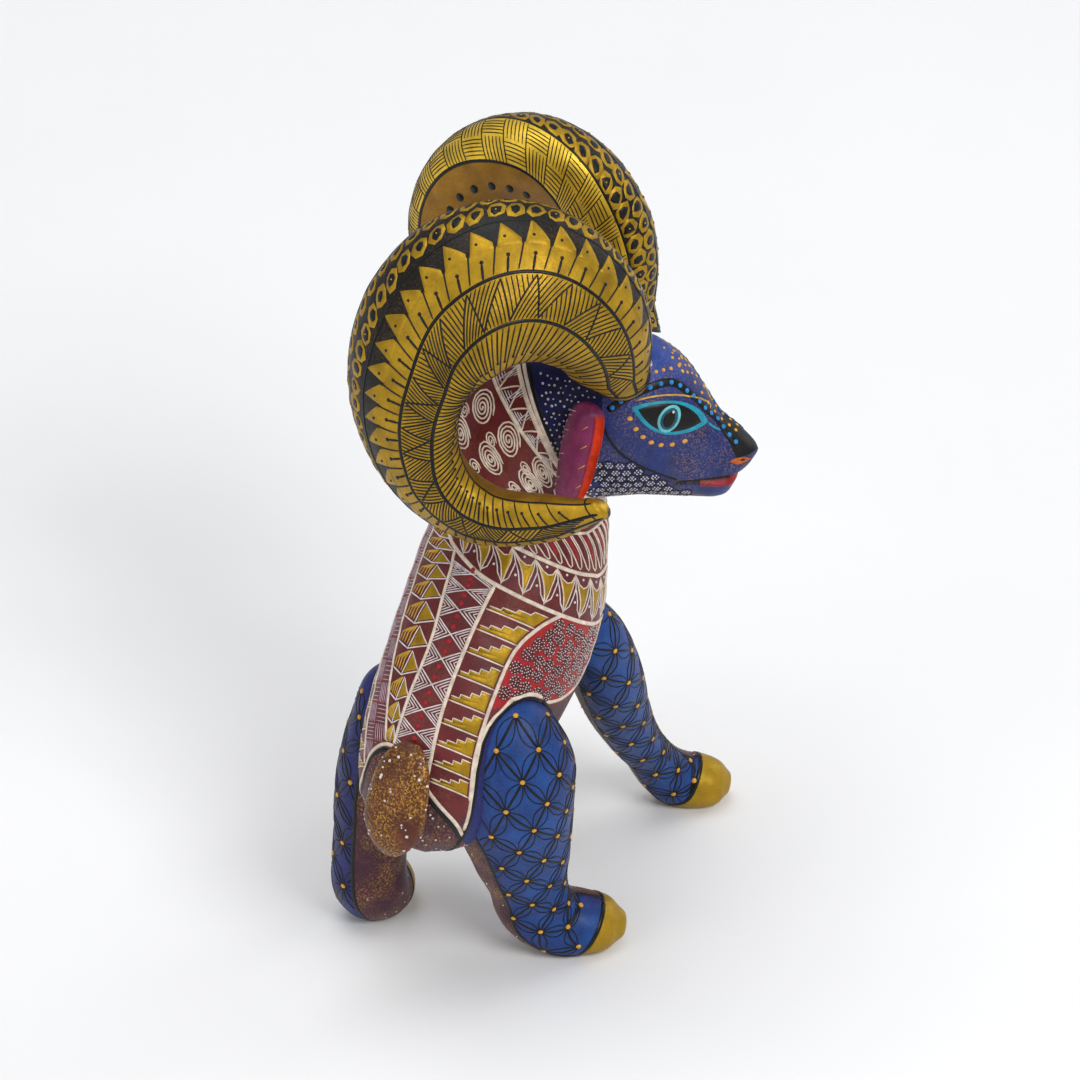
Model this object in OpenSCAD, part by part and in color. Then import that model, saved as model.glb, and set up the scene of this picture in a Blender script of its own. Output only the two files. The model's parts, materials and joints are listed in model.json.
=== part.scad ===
// Carved and painted wooden ram with curled horns, as a set of carved pieces on dowels.
// Millimetres, +Z up. The head looks along -Y, and its right side is on -X.
// Turns are degrees about +Z, anticlockwise seen from above, and 0 is the way the head looks.

/* [Body] */
// Turn of the body, which the head looks away from
body_turn = 68; // [66:1:70]
// Turn of the way the feet point
feet_turn = 8; // [6:1:10]
// Half of the widest part of the body
body_half_w = 25; // [24.5:0.25:25.5]

/* [Horns] */
// Height of the curl above its centre, measured to the middle of the horn
curl_r = 28.25; // [28:0.25:28.75]
// Width of the curl, as a share of its height
curl_narrow = 0.86; // [0.85:0.01:0.88]
// Distance from the head's midplane to the middle of the horn at the root
curl_in = 14.5; // [14.25:0.25:15]
// Distance from the head's midplane to the middle of the horn at the tip
curl_out = 52; // [51:0.5:54]
// Width of the left horn's curl, as a share of its height
left_curl_narrow = 0.71; // [0.70:0.01:0.73]
// Lean of the horn's broad face
horn_lean = 42; // [40:1:44]

/* [Dowels and pegs] */
// Diameter of the dowel between body and head
neck_dowel_d = 8; // [7:0.5:8.5]
// Diameter of the dowel in each leg
leg_dowel_d = 5; // [4:0.5:5.5]
// Diameter of the dowel under each horn
horn_dowel_d = 5; // [4:0.5:5.5]
// Diameter of the peg on each ear
ear_peg_d = 3; // [2.5:0.25:3.25]
// Diameter of the peg on the tail
tail_peg_d = 3.5; // [3:0.25:4]

/* [Hidden] */

// Upright axis through the neck, about which the head is turned from the body
neck_axis = [9.2, 4.13, 0];
// Radial gap round a dowel that slides out, and round one that is glued in
slide_gap = 0.06;
glue_gap = 0.02;
// Gap that each bore runs past the end of its dowel
end_gap = 0.3;
// Clearance between a lift-off piece's root and the socket around it
root_gap = 0.4;
dowel_facets = 64;
body_sides = 28;
leg_sides = 20;
horn_sides = 24;

// Body rings, from rump to throat. Each is [back edge forward of the neck axis, its height,
// belly edge forward of the neck axis, its height, half width over body_half_w, turn over body_turn]
body_rings = [
    [-69.5, 53, -62, 45.5, 0.2, 1],
    [-71, 61, -53.5, 43, 0.52, 1],
    [-69.5, 70, -45, 43.5, 0.73, 1],
    [-65, 79, -36, 47.5, 0.85, 1],
    [-58, 89.5, -25.5, 55.5, 0.92, 1],
    [-48.5, 101, -12, 62, 0.97, 1],
    [-39, 111, -0.5, 70.5, 1, 1],
    [-33, 118, 9, 84, 0.99, 1],
    [-28.5, 122, 14.5, 100, 0.92, 0.95],
    [-26.5, 129, 18.5, 110, 0.85, 0.8],
    [-25, 142, 18.5, 117, 0.78, 0.5],
    [-17, 157.5, 17.5, 121, 0.72, 0.2],
    [-3.5, 167.5, 16.5, 123.5, 0.69, 0]
];

// Head rings, from the neck seam to the nose, each [top edge forward, its height,
// under edge forward, its height, half width]
head_rings = [
    [-3.5, 167.5, 16.5, 123.5, 17.25],
    [6.5, 171, 22, 124.5, 17.25],
    [17.5, 172.5, 28, 125.5, 16.75],
    [26.5, 172, 32.5, 125.5, 15.25],
    [34, 168.5, 37, 125.25, 13.25],
    [39, 164, 40.5, 125, 11.25],
    [43.5, 157, 44, 125, 9.5],
    [47.5, 150.5, 47.5, 125.25, 8],
    [52, 146.5, 50.5, 127, 6.75],
    [55, 143.5, 53.5, 133, 5.25],
    [57, 141.5, 55.5, 135.75, 3.5],
    [58, 140, 57, 138, 1.25]
];

// Leg rings, from inside the body to the toe, each [forward, rightward, height of the middle,
// half size along the way the foot points or up, half size sideways]
right_front_rings = [
    [3.5, 13.5, 95, 5, 5],
    [9.5, 11.5, 90, 7.25, 7.5],
    [14.5, 8.5, 81.5, 8.75, 9],
    [18.5, 3, 65.5, 9.5, 9.5],
    [21.5, -5.5, 49, 8.5, 8.5],
    [25.5, -13.5, 34, 7, 7],
    [29.5, -21, 22.5, 6.25, 6.25],
    [33.5, -26.5, 13, 7, 6.75],
    [38.5, -29.5, 7, 7.75, 7.5],
    [44.5, -30, 5.75, 7.25, 7.5],
    [49.5, -30.5, 5, 5.25, 6],
    [52.5, -30.5, 4.5, 1.5, 1.75]
];
left_front_rings = [
    [-13.5, 3.5, 95, 5, 5],
    [-14.5, -2.5, 90, 8, 8],
    [-15, -8.5, 81.5, 9.5, 9.5],
    [-13.5, -15.5, 65.5, 9.5, 9.5],
    [-10.5, -24, 49, 8.5, 8.5],
    [-8.5, -31, 34, 7, 7],
    [-8, -36.5, 22.5, 6.25, 6.25],
    [-7.5, -40.5, 13, 6.75, 6.75],
    [-6, -44, 7, 7.75, 7.25],
    [-3.5, -48, 5.75, 7, 7],
    [-1, -51, 5, 5, 5.75],
    [0.5, -53, 4.5, 1.5, 1.75]
];
right_hind_rings = [
    [-7.5, 38.5, 86, 4, 4],
    [-7.5, 43, 80.5, 12.5, 10.5],
    [-7.5, 46.5, 71, 17.5, 13.25],
    [-7, 47.5, 59.5, 17.5, 13.75],
    [-5, 45.5, 47.5, 15, 12.25],
    [-3.5, 42.5, 35.5, 12.75, 10.75],
    [-2, 39, 24.5, 10.5, 9.25],
    [0, 36.5, 14.5, 10, 9],
    [6, 34.75, 8.25, 9.5, 9.5],
    [13, 34, 7, 8.25, 9.25],
    [19.5, 33.5, 6.25, 6.25, 7.5],
    [24, 33.5, 5.75, 2, 2.5]
];
left_hind_rings = [
    [-36, 22, 81, 4, 4],
    [-36.5, 22.5, 75.5, 8.5, 8.5],
    [-37, 23.5, 66, 10.75, 10.75],
    [-39, 24.5, 55, 11.75, 11.25],
    [-41, 25.5, 43, 11.5, 10.75],
    [-42.5, 25.5, 32.5, 10.25, 10],
    [-43.5, 25, 23, 9.75, 9.25],
    [-43.5, 23.5, 13.5, 10, 9.5],
    [-42, 20, 8.25, 9.25, 9.25],
    [-39.5, 15.5, 6.75, 8, 8.75],
    [-37, 11.5, 6, 6, 7],
    [-35, 8.5, 5.5, 2, 2.5]
];

// Horn: middle of the curl, forward of the neck axis and up, and the turn of its ends
curl_forward = -3.75;
left_curl_forward = -1.75;
curl_up = 174;
left_curl_up = 175.25;
curl_start = -4;
curl_end = 314;
// How much the curl opens out over its last part
curl_open = 0.65;
curl_open_from = 0.8;
// Horn sizes along its length, each [share of the length, half height, half thickness]
horn_sizes = [
    [0, 11.5, 10],
    [0.1, 16, 11.25],
    [0.31, 22.5, 12],
    [0.58, 18, 11],
    [0.84, 11.5, 8],
    [0.95, 7.5, 6],
    [1, 3.5, 3]
];
horn_steps = 44;
// Root of the right horn: forward, rightward, up, its radius and its pull-out direction
horn_root = [23.5, 11, 167.5];
horn_root_r = 7.75;
horn_pull = [0.15, 0.5, 0.85];

// Ear: root on the head, pull-out direction, and rings down to the tip, each
// [forward, rightward, up, half width, half depth]
ear_root = [15.5, 16.5, 158.5];
ear_pull = [-0.3, 0.95, 0.08];
ear_root_r = 2.75;
ear_rings = [
    [16.5, 20, 163.5, 1.5, 1.2],
    [16.5, 20.5, 161.5, 4.25, 3.2],
    [15.75, 21.25, 156.5, 5.25, 4],
    [14.75, 22.25, 150.5, 5.25, 4.25],
    [13.75, 23.5, 144.5, 5, 4],
    [12.5, 24.75, 138.5, 4, 3],
    [11.75, 25.75, 134, 1.25, 1]
];

// Tail: root on the rump in the body's frame, pull-out direction, and rings down to the tip,
// each [backward of the seat, below the seat's middle, half width, half thickness]
tail_root = [-70, 1.5, 68.5];
tail_pull = [-0.94, 0, 0.34];
tail_rings = [
    [0.5, -14.5, 2, 0.8],
    [1.5, -12, 5.25, 2],
    [2.5, -7, 7.5, 3.25],
    [3, 0, 8.5, 4],
    [3, 7, 8.5, 4.25],
    [2.5, 12.5, 6, 3.25],
    [2, 16, 2, 1]
];

// ---- Directions and places ----
function heading(turn) = [sin(turn), -cos(turn), 0];
function rightward(turn) = [-cos(turn), -sin(turn), 0];
function direction(turn, v) = v[0] * heading(turn) + v[1] * rightward(turn) + [0, 0, v[2]];
function place(turn, v) = neck_axis + direction(turn, v);
function unit(v) = v / norm(v);

// ---- Smooth curve through a list of rows ----
function row(list, i) = list[max(0, min(len(list) - 1, i))];
function smooth(p0, p1, p2, p3, t) =
    0.5 * (2 * p1 + (p2 - p0) * t + (2 * p0 - 5 * p1 + 4 * p2 - p3) * t * t
    + (3 * p1 - p0 - 3 * p2 + p3) * t * t * t);
function fine(list, steps) = [
    for (i = [0 : len(list) - 2], k = [0 : steps - 1])
        smooth(row(list, i - 1), list[i], list[i + 1], row(list, i + 2), k / steps),
    list[len(list) - 1]
];
function size_at(table, t, i = 0) =
    i >= len(table) - 2 || t < table[i + 1][0]
        ? smooth(row(table, i - 1), table[i], table[i + 1], row(table, i + 2),
            (t - table[i][0]) / (table[i + 1][0] - table[i][0]))
        : size_at(table, t, i + 1);

// ---- Closed skin over a list of rings with the same number of points ----
module skin(rings) {
    n = len(rings[0]);
    last = len(rings) - 1;
    polyhedron(
        points = [for (r = rings, p = r) p],
        faces = concat(
            [[for (j = [0 : n - 1]) j]],
            [for (i = [0 : last - 1], j = [0 : n - 1], half = [0, 1])
                half == 0
                    ? [i * n + j, (i + 1) * n + j, i * n + (j + 1) % n]
                    : [(i + 1) * n + j, (i + 1) * n + (j + 1) % n, i * n + (j + 1) % n]],
            [[for (j = [n - 1 : -1 : 0]) last * n + j]]
        ),
        convexity = 6
    );
}
function ring(middle, up, side, n) = [
    for (j = [0 : n - 1]) middle + up * cos(360 * j / n) + side * sin(360 * j / n)
];

// ---- Body and head ----
function body_ring(b) =
    let (turn = b[5] * body_turn, top = place(turn, [b[0], 0, b[1]]), under = place(turn, [b[2], 0, b[3]]))
    ring((top + under) / 2, (top - under) / 2, b[4] * body_half_w * rightward(turn), body_sides);
module body_skin() {
    skin([for (b = fine(body_rings, 2)) body_ring(b)]);
}
function head_ring(h) =
    let (top = place(0, [h[0], 0, h[1]]), under = place(0, [h[2], 0, h[3]]))
    ring((top + under) / 2, (top - under) / 2, h[4] * rightward(0), body_sides);
seam_middle = [(head_rings[0][0] + head_rings[0][2]) / 2, 0, (head_rings[0][1] + head_rings[0][3]) / 2];
seam_slope = atan2(head_rings[0][2] - head_rings[0][0], head_rings[0][1] - head_rings[0][3]);
seam_out = [cos(seam_slope), 0, sin(seam_slope)];

// ---- Dowels and pegs: a bar along a direction from a middle point ----
module bar(middle, along, d, back, front) {
    dir = unit(along);
    translate(middle - dir * back)
        rotate([0, acos(dir[2]), atan2(dir[1], dir[0])])
            cylinder(d = d, h = back + front, $fn = dowel_facets);
}
module widening_bar(middle, along, r0, r1, h) {
    dir = unit(along);
    translate(middle)
        rotate([0, acos(dir[2]), atan2(dir[1], dir[0])])
            cylinder(r1 = r0, r2 = r1, h = h, $fn = dowel_facets);
}

neck_reach = 12;
module neck_bar(d, extra) {
    bar(place(0, seam_middle), direction(0, seam_out), d, neck_reach + extra, neck_reach + extra);
}

// Each leg's dowel: middle point and direction in the feet's frame, and its reach each way
right_front_dowel_at = [[14, 8.5, 84], [0.75, -0.3, -0.6], 8, 9];
left_front_dowel_at = [[-15, -6.5, 84], [-0.1, -0.8, -0.6], 8, 9];
right_hind_dowel_at = [[-5, 41, 66], [0.85, 0.5, -0.15], 10, 9];
left_hind_dowel_at = [[-33.5, 24, 66], [-0.85, -0.5, -0.15], 10, 9];
module leg_bar(spot, d, extra) {
    bar(place(feet_turn, spot[0]), direction(feet_turn, spot[1]), d, spot[2] + extra, spot[3] + extra);
}

horn_reach_in = 9;
horn_reach_out = 8;
module horn_bar(d, in_extra, out_extra) {
    bar(place(0, horn_root), direction(0, horn_pull), d, horn_reach_in + in_extra, horn_reach_out + out_extra);
}
ear_reach_in = 6;
ear_reach_out = 2.75;
module ear_bar(d, in_extra, out_extra) {
    bar(place(0, ear_root), direction(0, ear_pull), d, ear_reach_in + in_extra, ear_reach_out + out_extra);
}
tail_reach_in = 8;
tail_reach_out = 4.5;
module tail_bar(d, in_extra, out_extra) {
    bar(place(body_turn, tail_root), direction(body_turn, tail_pull), d,
        tail_reach_in + in_extra, tail_reach_out + out_extra);
}

// The left side of the head is the mirror image of its right side
module left_side() {
    translate([2 * neck_axis[0], 0, 0])
        mirror([1, 0, 0])
            children();
}

// ---- Legs ----
function leg_ring(rows, i) =
    let (
        here = place(feet_turn, rows[i]),
        along = unit(place(feet_turn, row(rows, i + 1)) - place(feet_turn, row(rows, i - 1))),
        side = unit(cross(along, heading(feet_turn) + [0, 0, 0.6])),
        up = cross(side, along)
    )
    ring(here, rows[i][3] * up, rows[i][4] * side, leg_sides);
module leg_skin(rows) {
    fine_rows = fine(rows, 2);
    skin([for (i = [0 : len(fine_rows) - 1]) leg_ring(fine_rows, i)]);
}
// A leg is cut flat at the ground and scribed to the body
module leg(rows, spot) {
    ground = 200;
    difference() {
        leg_skin(rows);
        body_skin();
        translate([-ground / 2, -ground / 2, -ground])
            cube(ground);
        leg_bar(spot, leg_dowel_d + 2 * glue_gap, end_gap);
    }
}

// ---- Horn ----
function horn_turn(t) = curl_start + t * (curl_end - curl_start);
function horn_open(t) = 1 + curl_open * pow(max(0, t - curl_open_from) / (1 - curl_open_from), 2);
function horn_middle(t, curl) = [
    curl[0] + curl_r * curl[1] * horn_open(t) * cos(horn_turn(t)),
    curl_in + pow(t, 0.85) * (curl_out - curl_in),
    curl[2] + curl_r * sin(horn_turn(t))
];
function horn_outward(t) = [cos(horn_turn(t)), 0, sin(horn_turn(t))];
function horn_tall(t) = cos(horn_lean) * horn_outward(t) - [0, sin(horn_lean), 0];
function horn_thick(t) = sin(horn_lean) * horn_outward(t) + [0, cos(horn_lean), 0];
function horn_ring(t, curl) =
    let (size = size_at(horn_sizes, t))
    ring(place(0, horn_middle(t, curl)), size[1] * direction(0, horn_tall(t)),
        -size[2] * direction(0, horn_thick(t)), horn_sides);
// The root ring lies in the seat plane, and starts where the horn's rings do
horn_seat_out = unit(horn_pull);
horn_seat_up = unit(horn_tall(0) - (horn_tall(0) * horn_seat_out) * horn_seat_out);
horn_seat_side = cross(horn_seat_up, horn_seat_out);
module horn_skin(curl) {
    skin(concat(
        [ring(place(0, horn_root), horn_root_r * direction(0, horn_seat_up),
            horn_root_r * direction(0, horn_seat_side), horn_sides)],
        [for (i = [0 : horn_steps]) horn_ring(i / horn_steps, curl)]
    ));
}
// The curl is the place of its middle forward of the neck axis, its narrowing and its middle's height
module horn(curl) {
    difference() {
        horn_skin(curl);
        horn_bar(horn_dowel_d + 2 * glue_gap, 1, end_gap);
    }
}
// The socket starts a little under the root ring, clear of it all round, and widens upwards
horn_socket_under = 0.8;
horn_socket_gap = 1.1;
horn_socket_wide = 15.5;
horn_socket_deep = 9.8;
module horn_socket() {
    widening_bar(place(0, horn_root - horn_socket_under * horn_seat_out), direction(0, horn_pull),
        horn_root_r + horn_socket_gap, horn_socket_wide, horn_socket_deep);
}

// ---- Ear: a leaf rolled round an open groove along its front ----
groove_front = 0.75;
groove_out = 0.15;
groove_size = 0.4;
function leaf_ring(e, front_shift, out_shift, size) =
    let (
        middle = place(0, [e[0], e[1], e[2]]),
        front = direction(0, unit([1, 0.45, 0])) * e[3],
        out = direction(0, unit([-0.45, 1, 0.15])) * e[4]
    )
    ring(middle + front_shift * front + out_shift * out, size * out, -size * front, leg_sides);
module leaf() {
    skin([for (e = fine(ear_rings, 3)) leaf_ring(e, 0, 0, 1)]);
}
// The groove stops a ring short of both tips
module ear_groove() {
    groove_rings = [for (i = [1 : len(ear_rings) - 2]) ear_rings[i]];
    skin([for (e = fine(groove_rings, 3)) leaf_ring(e, groove_front, groove_out, groove_size)]);
}
module ear() {
    difference() {
        union() {
            leaf();
            bar(place(0, ear_root), direction(0, ear_pull), 2 * ear_root_r, 0, ear_reach_out);
        }
        ear_groove();
        ear_bar(ear_peg_d + 2 * glue_gap, 1, end_gap);
    }
}
module ear_socket() {
    bar(place(0, ear_root), direction(0, ear_pull), 2 * (ear_root_r + root_gap), 0, 8);
}

// ---- Tail: a drop with a flat inner face ----
function tail_place(v) = place(body_turn, tail_root) + v[0] * direction(body_turn, unit(tail_pull))
    + v[1] * rightward(body_turn) - v[2] * direction(body_turn, unit([0.34, 0, 0.94]));
function tail_ring(e) =
    let (
        middle = tail_place([e[0], 0, e[1]]),
        side = rightward(body_turn) * e[2],
        out = direction(body_turn, unit(tail_pull)) * e[3]
    )
    ring(middle, out, -side, leg_sides);
module half_space(root, pull) {
    size = 60;
    dir = unit(pull);
    translate(root)
        rotate([0, acos(dir[2]), atan2(dir[1], dir[0])])
            translate([-size / 2, -size / 2, -size])
                cube(size);
}
module tail_body() {
    difference() {
        skin([for (e = fine(tail_rings, 3)) tail_ring(e)]);
        half_space(place(body_turn, tail_root), direction(body_turn, tail_pull));
        tail_bar(tail_peg_d + 2 * glue_gap, 1, end_gap);
    }
}
tail_seat_r = 8;
module tail_seat() {
    bar(place(body_turn, tail_root), direction(body_turn, tail_pull), 2 * tail_seat_r, 0, 12);
}

// ---- Nodes ----
module torso() {
    color("#7a2b33")
        difference() {
            body_skin();
            tail_seat();
            neck_bar(neck_dowel_d + 2 * glue_gap, end_gap);
            tail_bar(tail_peg_d + 2 * slide_gap, end_gap, 0);
            leg_bar(right_front_dowel_at, leg_dowel_d + 2 * glue_gap, end_gap);
            leg_bar(left_front_dowel_at, leg_dowel_d + 2 * glue_gap, end_gap);
            leg_bar(right_hind_dowel_at, leg_dowel_d + 2 * glue_gap, end_gap);
            leg_bar(left_hind_dowel_at, leg_dowel_d + 2 * glue_gap, end_gap);
        }
}
// The mouth is a slit cut in from the muzzle's surface, from its corners to the front
mouth_corner = [37.5, 0, 133.5];
mouth_size = [30, 40, 1.1];
mouth_depth = 1.6;
module mouth() {
    difference() {
        translate(place(0, mouth_corner) + [-mouth_size[1] / 2, -mouth_size[0], -mouth_size[2] / 2])
            cube([mouth_size[1], mouth_size[0], mouth_size[2]]);
        skin([for (h = fine(head_rings, 2)) head_ring([
            h[0] - mouth_depth, h[1], h[2] - mouth_depth, h[3], max(0.3, h[4] - mouth_depth)])]);
    }
}
module head() {
    color("#1f3f9b")
        difference() {
            skin([for (h = fine(head_rings, 2)) head_ring(h)]);
            mouth();
            neck_bar(neck_dowel_d + 2 * glue_gap, end_gap);
            horn_socket();
            horn_bar(horn_dowel_d + 2 * slide_gap, end_gap, 0);
            ear_socket();
            ear_bar(ear_peg_d + 2 * slide_gap, end_gap, 0);
            left_side() {
                horn_socket();
                horn_bar(horn_dowel_d + 2 * slide_gap, end_gap, 0);
                ear_socket();
                ear_bar(ear_peg_d + 2 * slide_gap, end_gap, 0);
            }
        }
}
module right_front_leg() {
    color("#24489f")
        leg(right_front_rings, right_front_dowel_at);
}
module left_front_leg() {
    color("#24489f")
        leg(left_front_rings, left_front_dowel_at);
}
module right_hind_leg() {
    color("#24489f")
        leg(right_hind_rings, right_hind_dowel_at);
}
module left_hind_leg() {
    color("#24489f")
        leg(left_hind_rings, left_hind_dowel_at);
}
module right_horn() {
    color("#b5902c")
        horn([curl_forward, curl_narrow, curl_up]);
}
module left_horn() {
    color("#b5902c")
        left_side()
            horn([left_curl_forward, left_curl_narrow, left_curl_up]);
}
module right_ear() {
    color("#8c2f6d")
        ear();
}
module left_ear() {
    color("#8c2f6d")
        left_side()
            ear();
}
module tail() {
    color("#8a6a22")
        tail_body();
}
module neck_dowel() {
    color("tan")
        neck_bar(neck_dowel_d, 0);
}
module right_front_dowel() {
    color("tan")
        leg_bar(right_front_dowel_at, leg_dowel_d, 0);
}
module left_front_dowel() {
    color("tan")
        leg_bar(left_front_dowel_at, leg_dowel_d, 0);
}
module right_hind_dowel() {
    color("tan")
        leg_bar(right_hind_dowel_at, leg_dowel_d, 0);
}
module left_hind_dowel() {
    color("tan")
        leg_bar(left_hind_dowel_at, leg_dowel_d, 0);
}
module right_horn_dowel() {
    color("tan")
        horn_bar(horn_dowel_d, 0, 0);
}
module left_horn_dowel() {
    color("tan")
        left_side()
            horn_bar(horn_dowel_d, 0, 0);
}
module right_ear_peg() {
    color("tan")
        ear_bar(ear_peg_d, 0, 0);
}
module left_ear_peg() {
    color("tan")
        left_side()
            ear_bar(ear_peg_d, 0, 0);
}
module tail_peg() {
    color("tan")
        tail_bar(tail_peg_d, 0, 0);
}

torso();
head();
right_front_leg();
left_front_leg();
right_hind_leg();
left_hind_leg();
right_horn();
left_horn();
right_ear();
left_ear();
tail();
neck_dowel();
right_front_dowel();
left_front_dowel();
right_hind_dowel();
left_hind_dowel();
right_horn_dowel();
left_horn_dowel();
right_ear_peg();
left_ear_peg();
tail_peg();
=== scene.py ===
"""Looks of the carved and painted ram: smooth carved skins, raised painted linework, floor, light and camera.

Lengths in the tables are millimetres, as in part.scad, and become metres when a mesh is made.
Every skin repeats the rings of its CAD node, so the two coincide.
"""

import json
import math
import random

import bpy
import numpy as np
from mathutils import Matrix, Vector
from mathutils.bvhtree import BVHTree
from mathutils.kdtree import KDTree


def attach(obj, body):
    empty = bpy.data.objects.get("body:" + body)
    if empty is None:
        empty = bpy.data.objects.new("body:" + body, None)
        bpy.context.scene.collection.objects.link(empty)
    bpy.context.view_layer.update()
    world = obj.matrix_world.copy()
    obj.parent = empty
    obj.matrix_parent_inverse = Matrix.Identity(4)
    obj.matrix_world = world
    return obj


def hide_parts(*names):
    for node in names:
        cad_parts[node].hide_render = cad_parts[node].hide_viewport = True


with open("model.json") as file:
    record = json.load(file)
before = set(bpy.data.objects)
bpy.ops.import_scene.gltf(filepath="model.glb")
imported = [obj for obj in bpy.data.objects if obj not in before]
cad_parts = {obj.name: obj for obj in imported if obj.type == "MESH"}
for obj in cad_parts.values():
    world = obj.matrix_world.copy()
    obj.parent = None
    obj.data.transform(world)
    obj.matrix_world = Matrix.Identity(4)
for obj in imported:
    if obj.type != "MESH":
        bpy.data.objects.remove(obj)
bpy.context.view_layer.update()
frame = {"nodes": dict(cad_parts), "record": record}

MM = 0.001
RAND = random.Random(7)


def jitter(size):
    """A small unevenness of the hand."""
    return RAND.uniform(-size, size)


# ---- Places, as in part.scad ----
AXIS = np.array([9.2, 4.13, 0.0])
BODY_TURN = 68.0
FEET_TURN = 8.0
BODY_HALF_W = 25.0
CURL_R = 28.25
CURL_IN = 14.5
CURL_OUT = 52.0
HORN_LEAN = 42.0
CURL_START = -4.0
CURL_END = 314.0
CURL_OPEN = 0.65
CURL_OPEN_FROM = 0.8
# Middle of the curl forward of the neck axis, its narrowing, and the middle's height
RIGHT_CURL = (-3.75, 0.86, 174.0)
LEFT_CURL = (-1.75, 0.71, 175.25)
UP = np.array([0.0, 0.0, 1.0])

# Back edge forward, its height, belly edge forward, its height, half width share, turn share
BODY_ROWS = np.array([
    [-69.5, 53, -62, 45.5, 0.2, 1],
    [-71, 61, -53.5, 43, 0.52, 1],
    [-69.5, 70, -45, 43.5, 0.73, 1],
    [-65, 79, -36, 47.5, 0.85, 1],
    [-58, 89.5, -25.5, 55.5, 0.92, 1],
    [-48.5, 101, -12, 62, 0.97, 1],
    [-39, 111, -0.5, 70.5, 1, 1],
    [-33, 118, 9, 84, 0.99, 1],
    [-28.5, 122, 14.5, 100, 0.92, 0.95],
    [-26.5, 129, 18.5, 110, 0.85, 0.8],
    [-25, 142, 18.5, 117, 0.78, 0.5],
    [-17, 157.5, 17.5, 121, 0.72, 0.2],
    [-3.5, 167.5, 16.5, 123.5, 0.69, 0],
])
# Top edge forward, its height, under edge forward, its height, half width
HEAD_ROWS = np.array([
    [-3.5, 167.5, 16.5, 123.5, 17.25],
    [6.5, 171, 22, 124.5, 17.25],
    [17.5, 172.5, 28, 125.5, 16.75],
    [26.5, 172, 32.5, 125.5, 15.25],
    [34, 168.5, 37, 125.25, 13.25],
    [39, 164, 40.5, 125, 11.25],
    [43.5, 157, 44, 125, 9.5],
    [47.5, 150.5, 47.5, 125.25, 8],
    [52, 146.5, 50.5, 127, 6.75],
    [55, 143.5, 53.5, 133, 5.25],
    [57, 141.5, 55.5, 135.75, 3.5],
    [58, 140, 57, 138, 1.25],
])
# Forward, rightward, up, half size along the foot or up, half size sideways
LEG_ROWS = {
    "right_front_leg": [
        [3.5, 13.5, 95, 5, 5], [9.5, 11.5, 90, 7.25, 7.5], [14.5, 8.5, 81.5, 8.75, 9],
        [18.5, 3, 65.5, 9.5, 9.5], [21.5, -5.5, 49, 8.5, 8.5], [25.5, -13.5, 34, 7, 7],
        [29.5, -21, 22.5, 6.25, 6.25], [33.5, -26.5, 13, 7, 6.75], [38.5, -29.5, 7, 7.75, 7.5],
        [44.5, -30, 5.75, 7.25, 7.5], [49.5, -30.5, 5, 5.25, 6], [52.5, -30.5, 4.5, 1.5, 1.75],
    ],
    "left_front_leg": [
        [-13.5, 3.5, 95, 5, 5], [-14.5, -2.5, 90, 8, 8], [-15, -8.5, 81.5, 9.5, 9.5],
        [-13.5, -15.5, 65.5, 9.5, 9.5], [-10.5, -24, 49, 8.5, 8.5], [-8.5, -31, 34, 7, 7],
        [-8, -36.5, 22.5, 6.25, 6.25], [-7.5, -40.5, 13, 6.75, 6.75], [-6, -44, 7, 7.75, 7.25],
        [-3.5, -48, 5.75, 7, 7], [-1, -51, 5, 5, 5.75], [0.5, -53, 4.5, 1.5, 1.75],
    ],
    "right_hind_leg": [
        [-7.5, 38.5, 86, 4, 4], [-7.5, 43, 80.5, 12.5, 10.5], [-7.5, 46.5, 71, 17.5, 13.25],
        [-7, 47.5, 59.5, 17.5, 13.75], [-5, 45.5, 47.5, 15, 12.25], [-3.5, 42.5, 35.5, 12.75, 10.75],
        [-2, 39, 24.5, 10.5, 9.25], [0, 36.5, 14.5, 10, 9], [6, 34.75, 8.25, 9.5, 9.5],
        [13, 34, 7, 8.25, 9.25], [19.5, 33.5, 6.25, 6.25, 7.5], [24, 33.5, 5.75, 2, 2.5],
    ],
    "left_hind_leg": [
        [-36, 22, 81, 4, 4], [-36.5, 22.5, 75.5, 8.5, 8.5], [-37, 23.5, 66, 10.75, 10.75],
        [-39, 24.5, 55, 11.75, 11.25], [-41, 25.5, 43, 11.5, 10.75], [-42.5, 25.5, 32.5, 10.25, 10],
        [-43.5, 25, 23, 9.75, 9.25], [-43.5, 23.5, 13.5, 10, 9.5], [-42, 20, 8.25, 9.25, 9.25],
        [-39.5, 15.5, 6.75, 8, 8.75], [-37, 11.5, 6, 6, 7], [-35, 8.5, 5.5, 2, 2.5],
    ],
}
# Share of the horn's length, half height, half thickness
HORN_SIZES = np.array([
    [0, 11.5, 10],
    [0.1, 16, 11.25],
    [0.31, 22.5, 12],
    [0.58, 18, 11],
    [0.84, 11.5, 8],
    [0.95, 7.5, 6],
    [1, 3.5, 3],
])
HORN_ROOT = [23.5, 11, 167.5]
HORN_ROOT_R = 7.75
HORN_PULL = [0.15, 0.5, 0.85]
# Forward, rightward, up, half size forward, half size outward
EAR_ROWS = np.array([
    [16.5, 20, 163.5, 1.5, 1.2],
    [16.5, 20.5, 161.5, 4.25, 3.2],
    [15.75, 21.25, 156.5, 5.25, 4],
    [14.75, 22.25, 150.5, 5.25, 4.25],
    [13.75, 23.5, 144.5, 5, 4],
    [12.5, 24.75, 138.5, 4, 3],
    [11.75, 25.75, 134, 1.25, 1],
])
EAR_ROOT = [15.5, 16.5, 158.5]
EAR_PULL = [-0.3, 0.95, 0.08]
EAR_STEM_R = 2.75
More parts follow.
